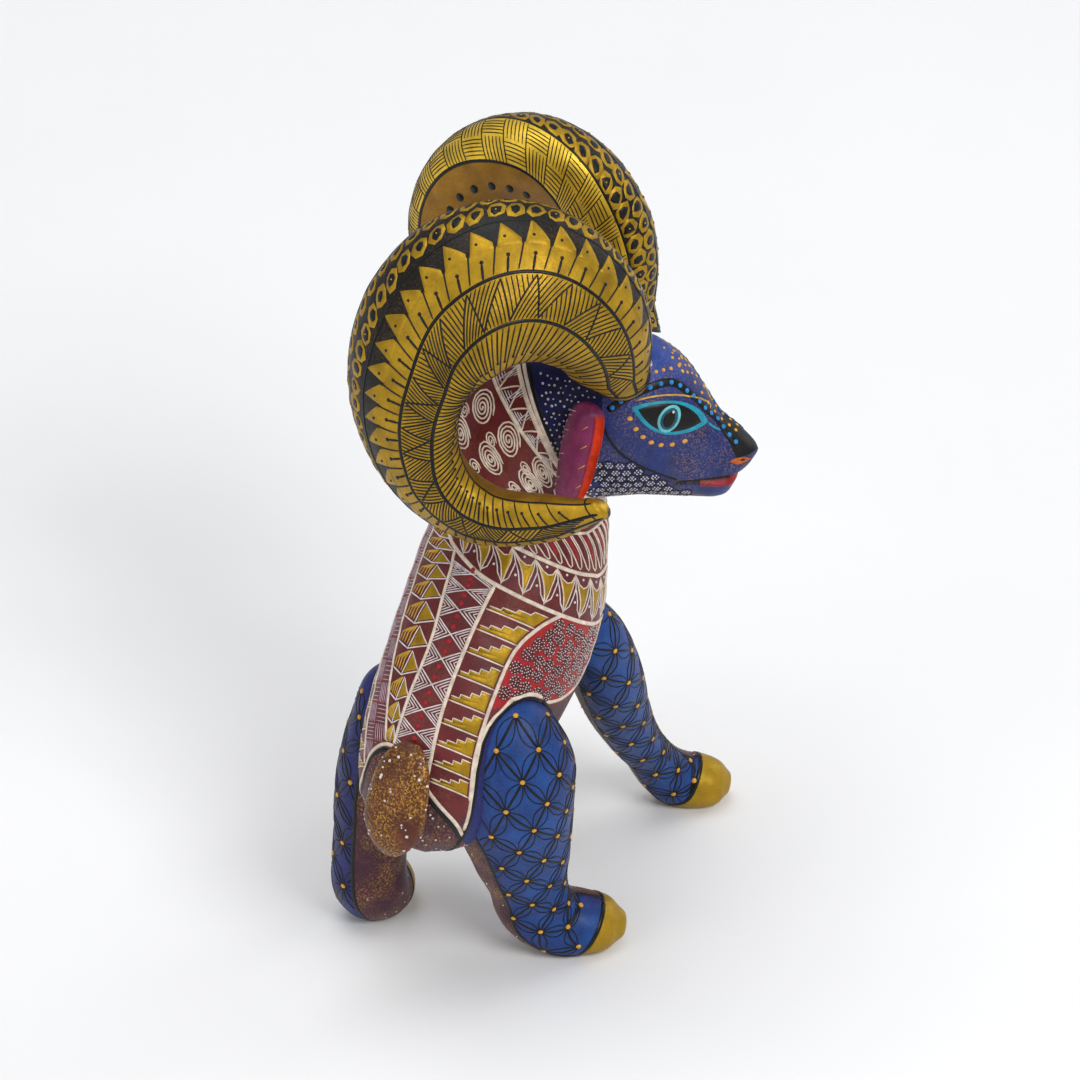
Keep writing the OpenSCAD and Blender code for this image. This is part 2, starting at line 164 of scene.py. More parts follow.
# Bores for the dowels, in the body that stays and in the piece that comes off: radii
HORN_BORE = (2.56, 2.52)
EAR_BORE = (1.56, 1.52)
TAIL_BORE = (1.81, 1.77)
# Seats: radius at the bottom, radius at the mouth, height
HORN_SEAT = (8.85, 15.5, 9.8)
HORN_SEAT_UNDER = 0.8
EAR_SEAT = (3.15, 3.15, 8)
TAIL_SEAT = (8.0, 8.0, 12)
TAIL_ROOT = [-70, 1.5, 68.5]
TAIL_PULL = [-0.94, 0, 0.34]
# Backward of the seat, below the seat's middle, half width, half thickness
TAIL_ROWS = np.array([
    [0.5, -14.5, 2, 0.8],
    [1.5, -12, 5.25, 2],
    [2.5, -7, 7.5, 3.25],
    [3, 0, 8.5, 4],
    [3, 7, 8.5, 4.25],
    [2.5, 12.5, 6, 3.25],
    [2, 16, 2, 1],
])


def unit(v):
    v = np.asarray(v, float)
    return v / (np.linalg.norm(v, axis=-1, keepdims=True) + 1e-12)


def heading(turn):
    t = np.radians(turn)
    return np.stack([np.sin(t), -np.cos(t), np.zeros_like(t)], -1)


def rightward(turn):
    t = np.radians(turn)
    return np.stack([-np.cos(t), -np.sin(t), np.zeros_like(t)], -1)


def direction(turn, v):
    v = np.asarray(v, float)
    return v[..., 0:1] * heading(turn) + v[..., 1:2] * rightward(turn) + v[..., 2:3] * UP


def place(turn, v):
    return AXIS + direction(turn, v)


def spline(rows, x):
    """Smooth curve through the rows, as part.scad draws it."""
    last = len(rows) - 1
    i = np.clip(np.floor(x).astype(int), 0, last - 1)
    t = (x - i)[:, None]
    p0, p1 = rows[np.maximum(i - 1, 0)], rows[i]
    p2, p3 = rows[i + 1], rows[np.minimum(i + 2, last)]
    return 0.5 * (2 * p1 + (p2 - p0) * t + (2 * p0 - 5 * p1 + 4 * p2 - p3) * t * t
                  + (3 * p1 - p0 - 3 * p2 + p3) * t ** 3)


def spline_at(table, t):
    """The smooth curve at a share t of a table whose first column is the share."""
    i = np.clip(np.searchsorted(table[:, 0], t, side="right") - 1, 0, len(table) - 2)
    x = i + (t - table[i, 0]) / (table[i + 1, 0] - table[i, 0])
    return spline(table, np.minimum(x, i + 1 - 1e-9))


def around(middle, up, side, angle):
    a = np.radians(angle)[:, None]
    return middle + up * np.cos(a) + side * np.sin(a)


# ---- Skins: a point for each station and angle ----
def profile_point(r, turn, half_width, angle):
    """A ring between a point of the upper profile and one of the lower."""
    top = AXIS + r[:, 0:1] * heading(turn) + r[:, 1:2] * UP
    under = AXIS + r[:, 2:3] * heading(turn) + r[:, 3:4] * UP
    return around((top + under) / 2, (top - under) / 2, half_width * rightward(turn), angle)


def body_point(x, angle):
    r = spline(BODY_ROWS, x)
    return profile_point(r, r[:, 5] * BODY_TURN, r[:, 4:5] * BODY_HALF_W, angle)


def head_point(x, angle):
    r = spline(HEAD_ROWS, x)
    return profile_point(r, 0.0, r[:, 4:5], angle)


def leg_point(rows):
    rows = np.array(rows)

    def point(x, angle):
        last = len(rows) - 1
        here = spline(rows, x)
        before = spline(rows, np.clip(x - 0.5, 0, last))
        after = spline(rows, np.clip(x + 0.5, 0, last))
        along = unit(direction(FEET_TURN, after[:, :3] - before[:, :3]))
        side = unit(np.cross(along, heading(FEET_TURN) + 0.6 * UP))
        up = np.cross(side, along)
        # Past the last ring but one the toe turns into a round tip
        toe = np.clip(x - (last - 1), 0, 1)[:, None]
        share = toe * toe * (3 - 2 * toe)
        tip = 0.76 * rows[-2, 3:5] * np.sqrt(1 - (0.98 * toe) ** 2)
        size = here[:, 3:5] * (1 - share) + tip * share
        return around(place(FEET_TURN, here[:, :3]), size[:, :1] * up, size[:, 1:] * side, angle)

    return point


# Runs of the curl taken up by the rounded tip, and by the root in its seat
TIP_ROUND = 0.012
ROOT_PART = 0.03


def horn_point(curl):
    """Stations below 0 run from the root ring in its seat to the first ring, and above 1 round the tip."""
    lean = math.radians(HORN_LEAN)
    pull = unit(HORN_PULL)
    turn0 = math.radians(CURL_START)
    seat_up = np.array([math.cos(lean) * math.cos(turn0), -math.sin(lean), math.cos(lean) * math.sin(turn0)])
    seat_up = unit(seat_up - seat_up.dot(pull) * pull)
    seat_side = np.cross(seat_up, pull)

    def point(t, angle):
        s = np.clip(t, 0, 1)
        turn = np.radians(CURL_START + s * (CURL_END - CURL_START))
        grow = 1 + CURL_OPEN * (np.maximum(0, s - CURL_OPEN_FROM) / (1 - CURL_OPEN_FROM)) ** 2
        middle = np.stack([
            curl[0] + CURL_R * curl[1] * grow * np.cos(turn),
            CURL_IN + s ** 0.85 * (CURL_OUT - CURL_IN),
            curl[2] + CURL_R * np.sin(turn)], -1)
        outward = np.stack([np.cos(turn), 0 * turn, np.sin(turn)], -1)
        tall = math.cos(lean) * outward - math.sin(lean) * np.array([0, 1, 0])
        thick = math.sin(lean) * outward + math.cos(lean) * np.array([0, 1, 0])
        size = spline_at(HORN_SIZES, s)
        past = np.clip((t - 1) / TIP_ROUND, 0, 1)
        shrink = np.sqrt(np.maximum(0, 1 - past ** 2))[:, None]
        ahead = np.stack([-np.sin(turn), 0.2 + 0 * turn, np.cos(turn)], -1)
        middle = middle + past[:, None] * ahead * 1.6
        ring = around(place(0.0, middle), size[:, 1:2] * shrink * direction(0.0, tall),
                      -size[:, 2:3] * shrink * direction(0.0, thick), angle)
        n = len(t)
        root = around(np.repeat(place(0.0, HORN_ROOT)[None], n, 0),
                      np.repeat(HORN_ROOT_R * direction(0.0, seat_up)[None], n, 0),
                      np.repeat(HORN_ROOT_R * direction(0.0, -seat_side)[None] * -1, n, 0), angle)
        back = np.clip(-t / ROOT_PART, 0, 1)[:, None]
        return ring * (1 - back) + root * back

    return point


def ear_point(front_shift, out_shift, size):
    def point(x, angle):
        e = spline(EAR_ROWS, x)
        middle = place(0.0, e[:, :3])
        front = direction(0.0, unit([1, 0.45, 0])) * e[:, 3:4]
        out = direction(0.0, unit([-0.45, 1, 0.15])) * e[:, 4:5]
        return around(middle + front_shift * front + out_shift * out, size * out, -size * front, angle)

    return point


def tail_point(x, angle):
    e = spline(TAIL_ROWS, x)
    out = direction(BODY_TURN, unit(TAIL_PULL))
    down = -direction(BODY_TURN, unit([0.34, 0, 0.94]))
    middle = place(BODY_TURN, TAIL_ROOT) + e[:, 0:1] * out + e[:, 1:2] * down
    return around(middle, out * e[:, 3:4], -rightward(BODY_TURN) * e[:, 2:3], angle)


def mirrored(point):
    """The same skin on the head's other side."""
    def other(x, angle):
        p = point(x, angle)
        p[:, 0] = 2 * AXIS[0] - p[:, 0]
        return p

    return other


class Skin:
    """A skin sampled on a fine grid, so that paint can be laid on it by station and angle."""

    def __init__(self, point, first, last, stations, angles=180, carve=0.0):
        self.first, self.last, self.stations, self.angles = first, last, stations, angles
        u = np.linspace(first, last, stations + 1)
        v = np.linspace(0, 360, angles + 1)
        grid_u, grid_v = np.meshgrid(u, v, indexing="ij")
        p = point(grid_u.ravel(), grid_v.ravel()).reshape(stations + 1, angles + 1, 3)
        n = self.normals(p)
        if carve:
            # Faint flats and hollows left by the knife
            wave = (np.sin(p[..., 0] * 0.61 + 1.3 * np.sin(p[..., 2] * 0.37))
                    * np.sin(p[..., 1] * 0.53 + 1.1 * np.sin(p[..., 0] * 0.29)) * np.sin(p[..., 2] * 0.47))
            p = p + n * (carve * wave)[..., None]
            n = self.normals(p)
        self.p, self.n = p, n
        self.mm_u = np.linalg.norm(np.gradient(p, axis=0), axis=-1) / ((last - first) / stations)
        self.mm_v = np.linalg.norm(np.gradient(p, axis=1), axis=-1) / (360 / angles)

    @staticmethod
    def normals(p):
        du = np.gradient(p, axis=0)
        dv = np.gradient(p, axis=1)
        dv[:, 0] = dv[:, -1] = (p[:, 1] - p[:, -2]) / 2
        n = unit(np.cross(du, dv))
        out = p - p[:, :-1].mean(axis=1, keepdims=True)
        middle = len(p) // 2
        return n if (n[middle] * out[middle]).sum() > 0 else -n

    def _mix(self, a, u, v):
        i = np.clip((np.asarray(u, float) - self.first) / (self.last - self.first) * self.stations, 0,
                    self.stations - 1e-6)
        j = (np.asarray(v, float) % 360) / 360 * self.angles
        i0, j0 = i.astype(int), np.minimum(j.astype(int), self.angles - 1)
        fi, fj = i - i0, j - j0
        if a.ndim == 3:
            fi, fj = fi[:, None], fj[:, None]
        return ((a[i0, j0] * (1 - fi) + a[i0 + 1, j0] * fi) * (1 - fj)
                + (a[i0, j0 + 1] * (1 - fi) + a[i0 + 1, j0 + 1] * fi) * fj)

    def look(self, u, v):
        u, v = np.broadcast_arrays(np.asarray(u, float), np.asarray(v, float))
        return self._mix(self.p, u, v), unit(self._mix(self.n, u, v))

    def step(self, u, v):
        """Station and angle steps that cover one millimetre there."""
        u, v = np.array([float(u)]), np.array([float(v)])
        return 1 / max(self._mix(self.mm_u, u, v)[0], 0.2), 1 / max(self._mix(self.mm_v, u, v)[0], 0.02)

    def mesh(self, name, tint=None):
        n, m = self.stations + 1, self.angles
        points = self.p[:, :-1].reshape(-1, 3)
        ends = np.array([self.p[0, :-1].mean(0), self.p[-1, :-1].mean(0)])
        i, j = np.meshgrid(np.arange(n - 1), np.arange(m), indexing="ij")
        k = (j + 1) % m
        quads = np.stack([i * m + j, (i + 1) * m + j, (i + 1) * m + k, i * m + k], -1).reshape(-1, 4)
        if (np.cross(self.p[n // 2, 1] - self.p[n // 2, 0], self.p[n // 2 + 1, 0] - self.p[n // 2, 0])
                .dot(self.n[n // 2, 0])) > 0:
            quads = quads[:, ::-1]
            turn = -1
        else:
            turn = 1
        faces = quads.tolist()
        low, high = n * m, n * m + 1
        for a in range(m):
            b = (a + 1) % m
            top = (n - 1) * m
            first, second = ((low, a, b), (high, top + b, top + a))
            faces.append(first[::turn])
            faces.append(second[::turn])
        obj = make_object(name, np.concatenate([points, ends]), faces)
        if tint is not None:
            u = np.linspace(self.first, self.last, n)
            v = np.arange(m) * 360 / m
            grid_u, grid_v = np.meshgrid(u, v, indexing="ij")
            paint, effect = tint(grid_u.ravel(), grid_v.ravel(), points)
            store_colour(obj, "paint", np.concatenate([paint, paint[:1], paint[-1:]]))
            store_colour(obj, "effect", np.concatenate([effect, effect[:1], effect[-1:]]))
        return obj


def make_object(name, points, faces):
    mesh = bpy.data.meshes.new(name)
    mesh.from_pydata((np.asarray(points) * MM).tolist(), [], faces)
    mesh.polygons.foreach_set("use_smooth", [True] * len(mesh.polygons))
    mesh.update()
    obj = bpy.data.objects.new(name, mesh)
    bpy.context.scene.collection.objects.link(obj)
    return obj


def store_colour(obj, name, rgb):
    layer = obj.data.color_attributes.new(name, "FLOAT_COLOR", "POINT")
    rgba = np.ones((len(rgb), 4))
    rgba[:, :3] = rgb
    layer.data.foreach_set("color", rgba.ravel())


# ---- Raised paint ----
# How far a stroke reaches into the wood, and the share of its width that is flat on top
SINK = 0.12
SHOULDER = 0.62


class Ink:
    """Raised strokes, dots and patches, each a small closed solid, gathered by piece and colour."""

    def __init__(self):
        self.points, self.faces, self.count = {}, {}, {}

    def _add(self, key, points, faces):
        base = self.count.get(key, 0)
        self.points.setdefault(key, []).append(points)
        self.faces.setdefault(key, []).extend([[base + i for i in f] for f in faces])
        self.count[key] = base + len(points)

    def ribbon(self, key, p, n, width, height=0.14, taper=0.55):
        """A stroke along points p with normals n."""
        p, n = np.asarray(p), np.asarray(n)
        if len(p) < 2:
            return
        along = unit(np.gradient(p, axis=0))
        side = unit(np.cross(n, along))
        half = np.full(len(p), width / 2)
        half[0] *= taper
        half[-1] *= taper
        half = half[:, None]
        rails = [p - side * half - n * SINK, p - side * half * SHOULDER + n * height,
                 p + side * half * SHOULDER + n * height, p + side * half - n * SINK]
        points = np.stack(rails, 1).reshape(-1, 3)
        faces = []
        for i in range(len(p) - 1):
            a, b = i * 4, (i + 1) * 4
            for k in range(4):
                faces.append((a + k, a + (k + 1) % 4, b + (k + 1) % 4, b + k))
        last = (len(p) - 1) * 4
        faces.append((3, 2, 1, 0))
        faces.append((last, last + 1, last + 2, last + 3))
        self._add(key, points, faces)

    def stroke(self, key, skin, u, v, width, height=0.14, keep=None, gap=1.2):
        """A stroke through points given by station and angle, straight between them. Keep says
        where it may lie, and only its longest run there is drawn."""
        u, v = np.asarray(u, float), np.asarray(v, float)
        p, _ = skin.look(u, v)
        long = np.linalg.norm(np.diff(p, axis=0), axis=1)
        us, vs = [u[:1]], [v[:1]]
        for i, d in enumerate(long):
            n = max(1, int(math.ceil(d / gap)))
            f = np.arange(1, n + 1) / n
            us.append(u[i] + (u[i + 1] - u[i]) * f)
            vs.append(v[i] + (v[i + 1] - v[i]) * f)
        u, v = np.concatenate(us), np.concatenate(vs)
        if keep is not None:
            inside = keep(u, v)
            if inside.sum() < 2:
                return
            runs = np.split(np.arange(len(u)), np.where(np.diff(inside.astype(int)) != 0)[0] + 1)
            best = max((r for r in runs if inside[r[0]]), key=len)
            u, v = u[best], v[best]
        p, n = skin.look(u, v)
        self.ribbon(key, p, n, width, height)

    def dome(self, key, p, n, r, r2=None, turn=0.0, height=0.22, sides=10):
        """A domed dot or oval on point p with normal n."""
        r2 = r2 or r
        a = unit(np.cross(n, UP if abs(n[2]) < 0.9 else np.array([1.0, 0, 0])))
        b = np.cross(n, a)
        a, b = a * math.cos(turn) + b * math.sin(turn), b * math.cos(turn) - a * math.sin(turn)
        t = np.arange(sides) * 2 * math.pi / sides
        rim = np.outer(np.cos(t), a) * r + np.outer(np.sin(t), b) * r2
        low = SINK + 0.02 * r * r
        points = np.concatenate([[p + n * height], p + rim * 0.7 + n * height * 0.8, p + rim - n * low,
                                 [p - n * (low + 0.08)]])
        faces = []
        for i in range(sides):
            j = (i + 1) % sides
            faces.append((0, 1 + i, 1 + j))
            faces.append((1 + i, 1 + sides + i, 1 + sides + j, 1 + j))
            faces.append((1 + sides + i, 1 + 2 * sides, 1 + sides + j))
        self._add(key, points, faces)

    def dot(self, key, skin, u, v, r, r2=None, turn=0.0, height=0.22, sides=10):
        p, n = skin.look([u], [v])
        self.dome(key, p[0], n[0], r, r2, turn, height, sides)

    def patch(self, key, skin, outline, height=0.08, rings=3, centre=None, gap=0.9):
        """A filled shape with its outline in stations and angles, seen whole from its centre."""
        outline = np.asarray(outline, float)
        pts = []
        for i in range(len(outline)):
            a, b = outline[i], outline[(i + 1) % len(outline)]
            pa, _ = skin.look([a[0], b[0]], [a[1], b[1]])
            n = max(1, int(math.ceil(np.linalg.norm(pa[1] - pa[0]) / gap)))
            for f in range(n):
                pts.append(a + (b - a) * f / n)
        edge = np.array(pts)
        mid = edge.mean(0) if centre is None else np.asarray(centre, float)
        m = len(edge)
        layers = [edge] + [mid + (edge - mid) * (1 - k / rings) for k in range(1, rings)]
        coords = np.concatenate(layers + [mid[None]])
        p, n = skin.look(coords[:, 0], coords[:, 1])
        high = np.full(len(coords), height)
        high[:m] = -0.1
        inner = mid + (edge - mid) * 0.94
        p2, n2 = skin.look(inner[:, 0], inner[:, 1])
        top = np.concatenate([p + n * high[:, None], p2 + n2 * height])
        bottom = p - n * 0.22
        points = np.concatenate([top, bottom])
        shoulder = len(coords)
        off = shoulder + m
        rim = p[:m] - p[0]
        flip = np.sum(np.cross(rim, np.roll(rim, -1, 0)) * n[:m]) < 0
        faces = []

        def face(*ids):
            faces.append(ids[::-1] if flip else ids)

        for i in range(m):
            j = (i + 1) % m
            face(i, j, shoulder + j, shoulder + i)
            ring_from = shoulder
            for k in range(1, rings):
                face(ring_from + i, ring_from + j, k * m + j, k * m + i)
                ring_from = k * m
            face(ring_from + i, ring_from + j, shoulder - 1)
            for k in range(rings - 1):
                face(off + k * m + j, off + k * m + i, off + (k + 1) * m + i, off + (k + 1) * m + j)
            face(off + (rings - 1) * m + j, off + (rings - 1) * m + i, off + shoulder - 1)
            face(j, i, off + i, off + j)
        self._add(key, points, faces)

    def blob(self, key, skin, u, v, r_u, r_v, height=0.08, wobble=0.15, sides=8, rings=2):
        """A rounded patch, a little uneven."""
        du, dv = skin.step(u, v)
        turn = RAND.random() * 6.28
        out = []
        for i in range(sides):
            a = turn + 2 * math.pi * i / sides
            k = 1 + wobble * jitter(1)
            out.append((u + math.cos(a) * r_u * du * k, v + math.sin(a) * r_v * dv * k))
        self.patch(key, skin, out, height, rings)

    def build(self, body_of_piece, materials):
        for (piece, colour), parts in self.points.items():
            obj = make_object(f"{piece}_{colour}_strokes", np.concatenate(parts), self.faces[(piece, colour)])
            obj.data.materials.append(materials[colour])
            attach(obj, body_of_piece[piece])


ink = Ink()


# ---- Materials ----
def linear(r, g, b):
    """A colour given as 0 to 255 screen values."""
    return tuple(((c / 255 + 0.055) / 1.055) ** 2.4 if c > 10 else c / 255 / 12.92 for c in (r, g, b))


MAROON = linear(98, 32, 36)
PLUM = linear(66, 22, 44)
NETWORK_RED = linear(156, 22, 34)
# Lighter blue for the painted lit side of the legs
LIT_COBALT = linear(18, 66, 134)
ULTRAMARINE = linear(20, 30, 100)
NAVY = linear(18, 24, 78)
# Lighter blue painted on the top of the head as a highlight
FOREHEAD_HIGHLIGHT = linear(34, 66, 144)
BLACK = linear(9, 8, 9)
GOLD = linear(170, 135, 26)
BRIGHT_GOLD = linear(224, 188, 58)
BROWN_GOLD = linear(146, 106, 30)
MAGENTA = linear(124, 42, 88)
EMBER = linear(222, 74, 36)
WOOD = linear(205, 170, 120)


class Nodes:
    """Short calls for building a material's nodes."""

    def __init__(self, name):
        self.material = bpy.data.materials.new(name)
        self.material.use_nodes = True
        self.tree = self.material.node_tree
        self.shader = self.tree.nodes["Principled BSDF"]
        self.place = self.new("ShaderNodeTexCoord").outputs["Object"]

    def new(self, kind, **values):
        node = self.tree.nodes.new(kind)
        for k, v in values.items():
            setattr(node, k, v)
        return node

    def link(self, out, into):
        if hasattr(out, "node"):
            self.tree.links.new(out, into)
        else:
            into.default_value = out

    def noise(self, scale, detail=4.0, rough=0.55, stretch=None):
        node = self.new("ShaderNodeTexNoise")
        node.inputs["Scale"].default_value = scale
        node.inputs["Detail"].default_value = detail
        node.inputs["Roughness"].default_value = rough
        where = self.place
        if stretch:
            mapping = self.new("ShaderNodeMapping")
            mapping.inputs["Scale"].default_value = stretch
            self.link(where, mapping.inputs["Vector"])
            where = mapping.outputs["Vector"]
        self.link(where, node.inputs["Vector"])
        return node.outputs["Fac"]

    def math(self, kind, a, b=0.0, clamp=False):
        node = self.new("ShaderNodeMath", operation=kind, use_clamp=clamp)
        self.link(a, node.inputs[0])
        self.link(b, node.inputs[1])
        return node.outputs[0]

    def span(self, value, low, high, to_low=0.0, to_high=1.0):
        node = self.new("ShaderNodeMapRange", clamp=True)
        for socket, v in zip(node.inputs[:5], (value, low, high, to_low, to_high)):
            self.link(v, socket)
        return node.outputs[0]

    def mix(self, share, a, b, blend="MIX"):
        node = self.new("ShaderNodeMix", data_type="RGBA", blend_type=blend)
        self.link(share, node.inputs["Factor"])
        for v, socket in ((a, node.inputs[6]), (b, node.inputs[7])):
            self.link(v if hasattr(v, "node") else (*v, 1.0), socket)
        return node.outputs[2]

    def attribute(self, name):
        return self.new("ShaderNodeAttribute", attribute_name=name)

    def bump(self, height, distance, strength=1.0, under=None):
        node = self.new("ShaderNodeBump")
        node.inputs["Distance"].default_value = distance
        node.inputs["Strength"].default_value = strength
        self.link(height, node.inputs["Height"])
        if under is not None:
            self.link(under, node.inputs["Normal"])
        return node.outputs["Normal"]


def painted(name, colour=None, effect=None):
    """Brushed acrylic paint over carved wood. With no colour given it is read from the skin's own
    paint and effect layers; effect is how much metal, gold dry-brush and mottling there is."""
    n = Nodes(name)
    if colour is None:
        base = n.attribute("paint").outputs["Color"]
        parts = n.new("ShaderNodeSeparateColor")
        n.link(n.attribute("effect").outputs["Color"], parts.inputs[0])
        metal, brushed, mottled = parts.outputs
    else:
        base = colour
        metal, brushed, mottled = effect
    cloud = n.noise(170, 5, 0.6)
    grain = n.noise(1500, 6, 0.65)
    sweep = n.noise(420, 4, 0.6, stretch=(1.0, 1.0, 0.35))
    dark = n.mix(1.0, base, (0.45, 0.42, 0.5), "MULTIPLY")
    light = n.mix(1.0, base, (1.5, 1.45, 1.35), "MULTIPLY")
    shade = n.mix(n.span(cloud, 0.3, 0.7), dark, light)
    tone = n.mix(n.math("MULTIPLY", mottled, 0.75), base, shade)
    tone = n.mix(n.span(grain, 0.35, 0.75, 0.0, 0.28), tone, dark)
    tone = n.mix(n.math("MULTIPLY", n.span(sweep, 0.55, 0.8), n.math("MULTIPLY", mottled, 0.4)), tone, light)
    # Gold dust brushed over the high spots
    patches = n.span(n.noise(95, 3, 0.5), 0.36, 0.66)
    flecks = n.span(n.noise(1700, 7, 0.75), 0.5, 0.6)
    dust = n.math("MULTIPLY", n.math("MULTIPLY", patches, flecks), brushed, clamp=True)
    tone = n.mix(dust, tone, linear(196, 150, 58))
    n.link(tone, n.shader.inputs["Base Color"])
    if colour is not None and brushed == 0:
        n.shader.inputs["Metallic"].default_value = metal * 0.62
    else:
        n.link(n.math("ADD", n.math("MULTIPLY", metal, 0.62), n.math("MULTIPLY", dust, 0.55), clamp=True),
               n.shader.inputs["Metallic"])
    rough = n.span(grain, 0.3, 0.7, 0.34, 0.52)
    n.link(n.math("ADD", rough, n.span(cloud, 0.3, 0.7, -0.04, 0.06)), n.shader.inputs["Roughness"])
    n.shader.inputs["Specular IOR Level"].default_value = 0.3
    soft = n.bump(cloud, 0.0006, 0.35)
    n.link(n.bump(grain, 0.00014, 0.6, under=soft), n.shader.inputs["Normal"])
    return n.material


def line_paint(name, colour, metal=0.0, rough=0.42):
    """A thick stroke of brush paint, thinner and darker in places."""
    n = Nodes(name)
    grain = n.noise(1400, 5, 0.6)
    thin = n.span(n.noise(520, 4, 0.55), 0.35, 0.7)
    dark = tuple(c * 0.62 for c in colour)
    tone = n.mix(thin, dark, colour)
    tone = n.mix(n.span(grain, 0.4, 0.8, 0.0, 0.3), tone, dark)
    n.link(tone, n.shader.inputs["Base Color"])
    n.link(n.span(grain, 0.3, 0.7, rough - 0.07, rough + 0.1), n.shader.inputs["Roughness"])
    if metal:
        n.link(n.span(thin, 0.0, 1.0, metal * 0.6, metal), n.shader.inputs["Metallic"])
    n.shader.inputs["Specular IOR Level"].default_value = 0.3
    n.link(n.bump(grain, 0.0001, 0.5), n.shader.inputs["Normal"])
    return n.material


def bare_wood(name):
    n = Nodes(name)
    rings = n.noise(700, 6, 0.6, stretch=(1.0, 1.0, 0.08))
    pores = n.noise(2600, 3, 0.5, stretch=(1.0, 1.0, 0.15))
    tone = n.mix(n.span(rings, 0.35, 0.65), tuple(c * 0.6 for c in WOOD), WOOD)
    tone = n.mix(n.span(pores, 0.62, 0.7, 0.0, 0.6), tone, tuple(c * 0.35 for c in WOOD))
    n.link(tone, n.shader.inputs["Base Color"])
    n.link(n.span(rings, 0.3, 0.7, 0.55, 0.75), n.shader.inputs["Roughness"])
    n.link(n.bump(rings, 0.0001, 0.5), n.shader.inputs["Normal"])
    return n.material


# Colours of the brushwork
LINES = {
    "black": dict(colour=BLACK, rough=0.38),
    "cream": dict(colour=linear(242, 224, 204)),
    "white": dict(colour=linear(236, 228, 226)),
    "lilac": dict(colour=linear(214, 190, 208)),
    "gold": dict(colour=linear(222, 176, 62), metal=0.45, rough=0.36),
    "amber": dict(colour=linear(238, 172, 56), rough=0.4),
    "cyan": dict(colour=linear(24, 142, 222)),
    "turquoise": dict(colour=linear(26, 158, 184)),
    "teal": dict(colour=linear(14, 88, 112)),
    "pale": dict(colour=linear(112, 200, 204)),
    "red": dict(colour=linear(170, 26, 40)),
    "maroon": dict(colour=linear(96, 30, 34)),
    "rust": dict(colour=linear(196, 98, 36), metal=0.2),
}
LINES = {name: line_paint(name + "_line", **look) for name, look in LINES.items()}


def blank(n, paint, effect):
    return np.tile(np.array(paint, float), (n, 1)), np.tile(np.array(effect, float), (n, 1))


def path(points, per=8):
    """A smooth run through a few points."""
    rows = np.array(points, float)
    x = np.linspace(0, len(rows) - 1, (len(rows) - 1) * per + 1)
    p = spline(rows, x)
    return p[:, 0], p[:, 1]


def signed(angle):
    return (np.asarray(angle, float) + 180) % 360 - 180


# ---- Horns ----
# Angles round the horn where one band of paint meets the next
OVAL_EDGE = 178
TICK_EDGE = 242
ZIGZAG_EDGE = 278
TEETH_BASE = 299
TEETH_TOP = 322
CELLS_FROM = 322
CELLS_TO = 371
HATCH_TO = 436
# Where the painting starts on the root, in runs of the curl
ROOT_LINE = -0.024
# How far the bands turn round each horn, in degrees, along its run
RIGHT_TWIST = [(0, 0), (0.22, 2), (0.38, -18), (0.5, -38), (0.64, -38), (0.76, -26), (1, -18)]
LEFT_TWIST = [(0, 10), (0.1, 12), (0.18, 4), (0.26, -20), (0.34, -48), (0.45, -68), (0.6, -60), (0.8, -40),
              (1, -25)]


def turning(twist):
    keys, values = path(twist)
    return lambda t: np.interp(t, keys, values)


class Twisted:
    """A horn's skin, with its bands of paint turned round it."""

    def __init__(self, skin, twist):
        self.skin, self.twist = skin, twist

    def look(self, u, v):
        return self.skin.look(u, np.asarray(v, float) + self.twist(np.asarray(u, float)))

    def step(self, u, v):
        return self.skin.step(u, v + float(self.twist(u)))


def horn_tint(t, angle, points, twist):
    paint, effect = blank(len(t), GOLD, (0.85, 0.0, 0.75))
    a = (angle - twist(t)) % 360
    black = (a > TEETH_BASE) | (a < CELLS_TO - 360)
    paint[black] = BLACK
    effect[black] = (0.1, 0.12, 0.4)
    hatch = (a >= CELLS_TO - 360) & (a < HATCH_TO - 360)
    paint[hatch] = BRIGHT_GOLD
    ovals = (a >= HATCH_TO - 360) & (a < OVAL_EDGE)
    paint[ovals] = BROWN_GOLD
    return paint, effect


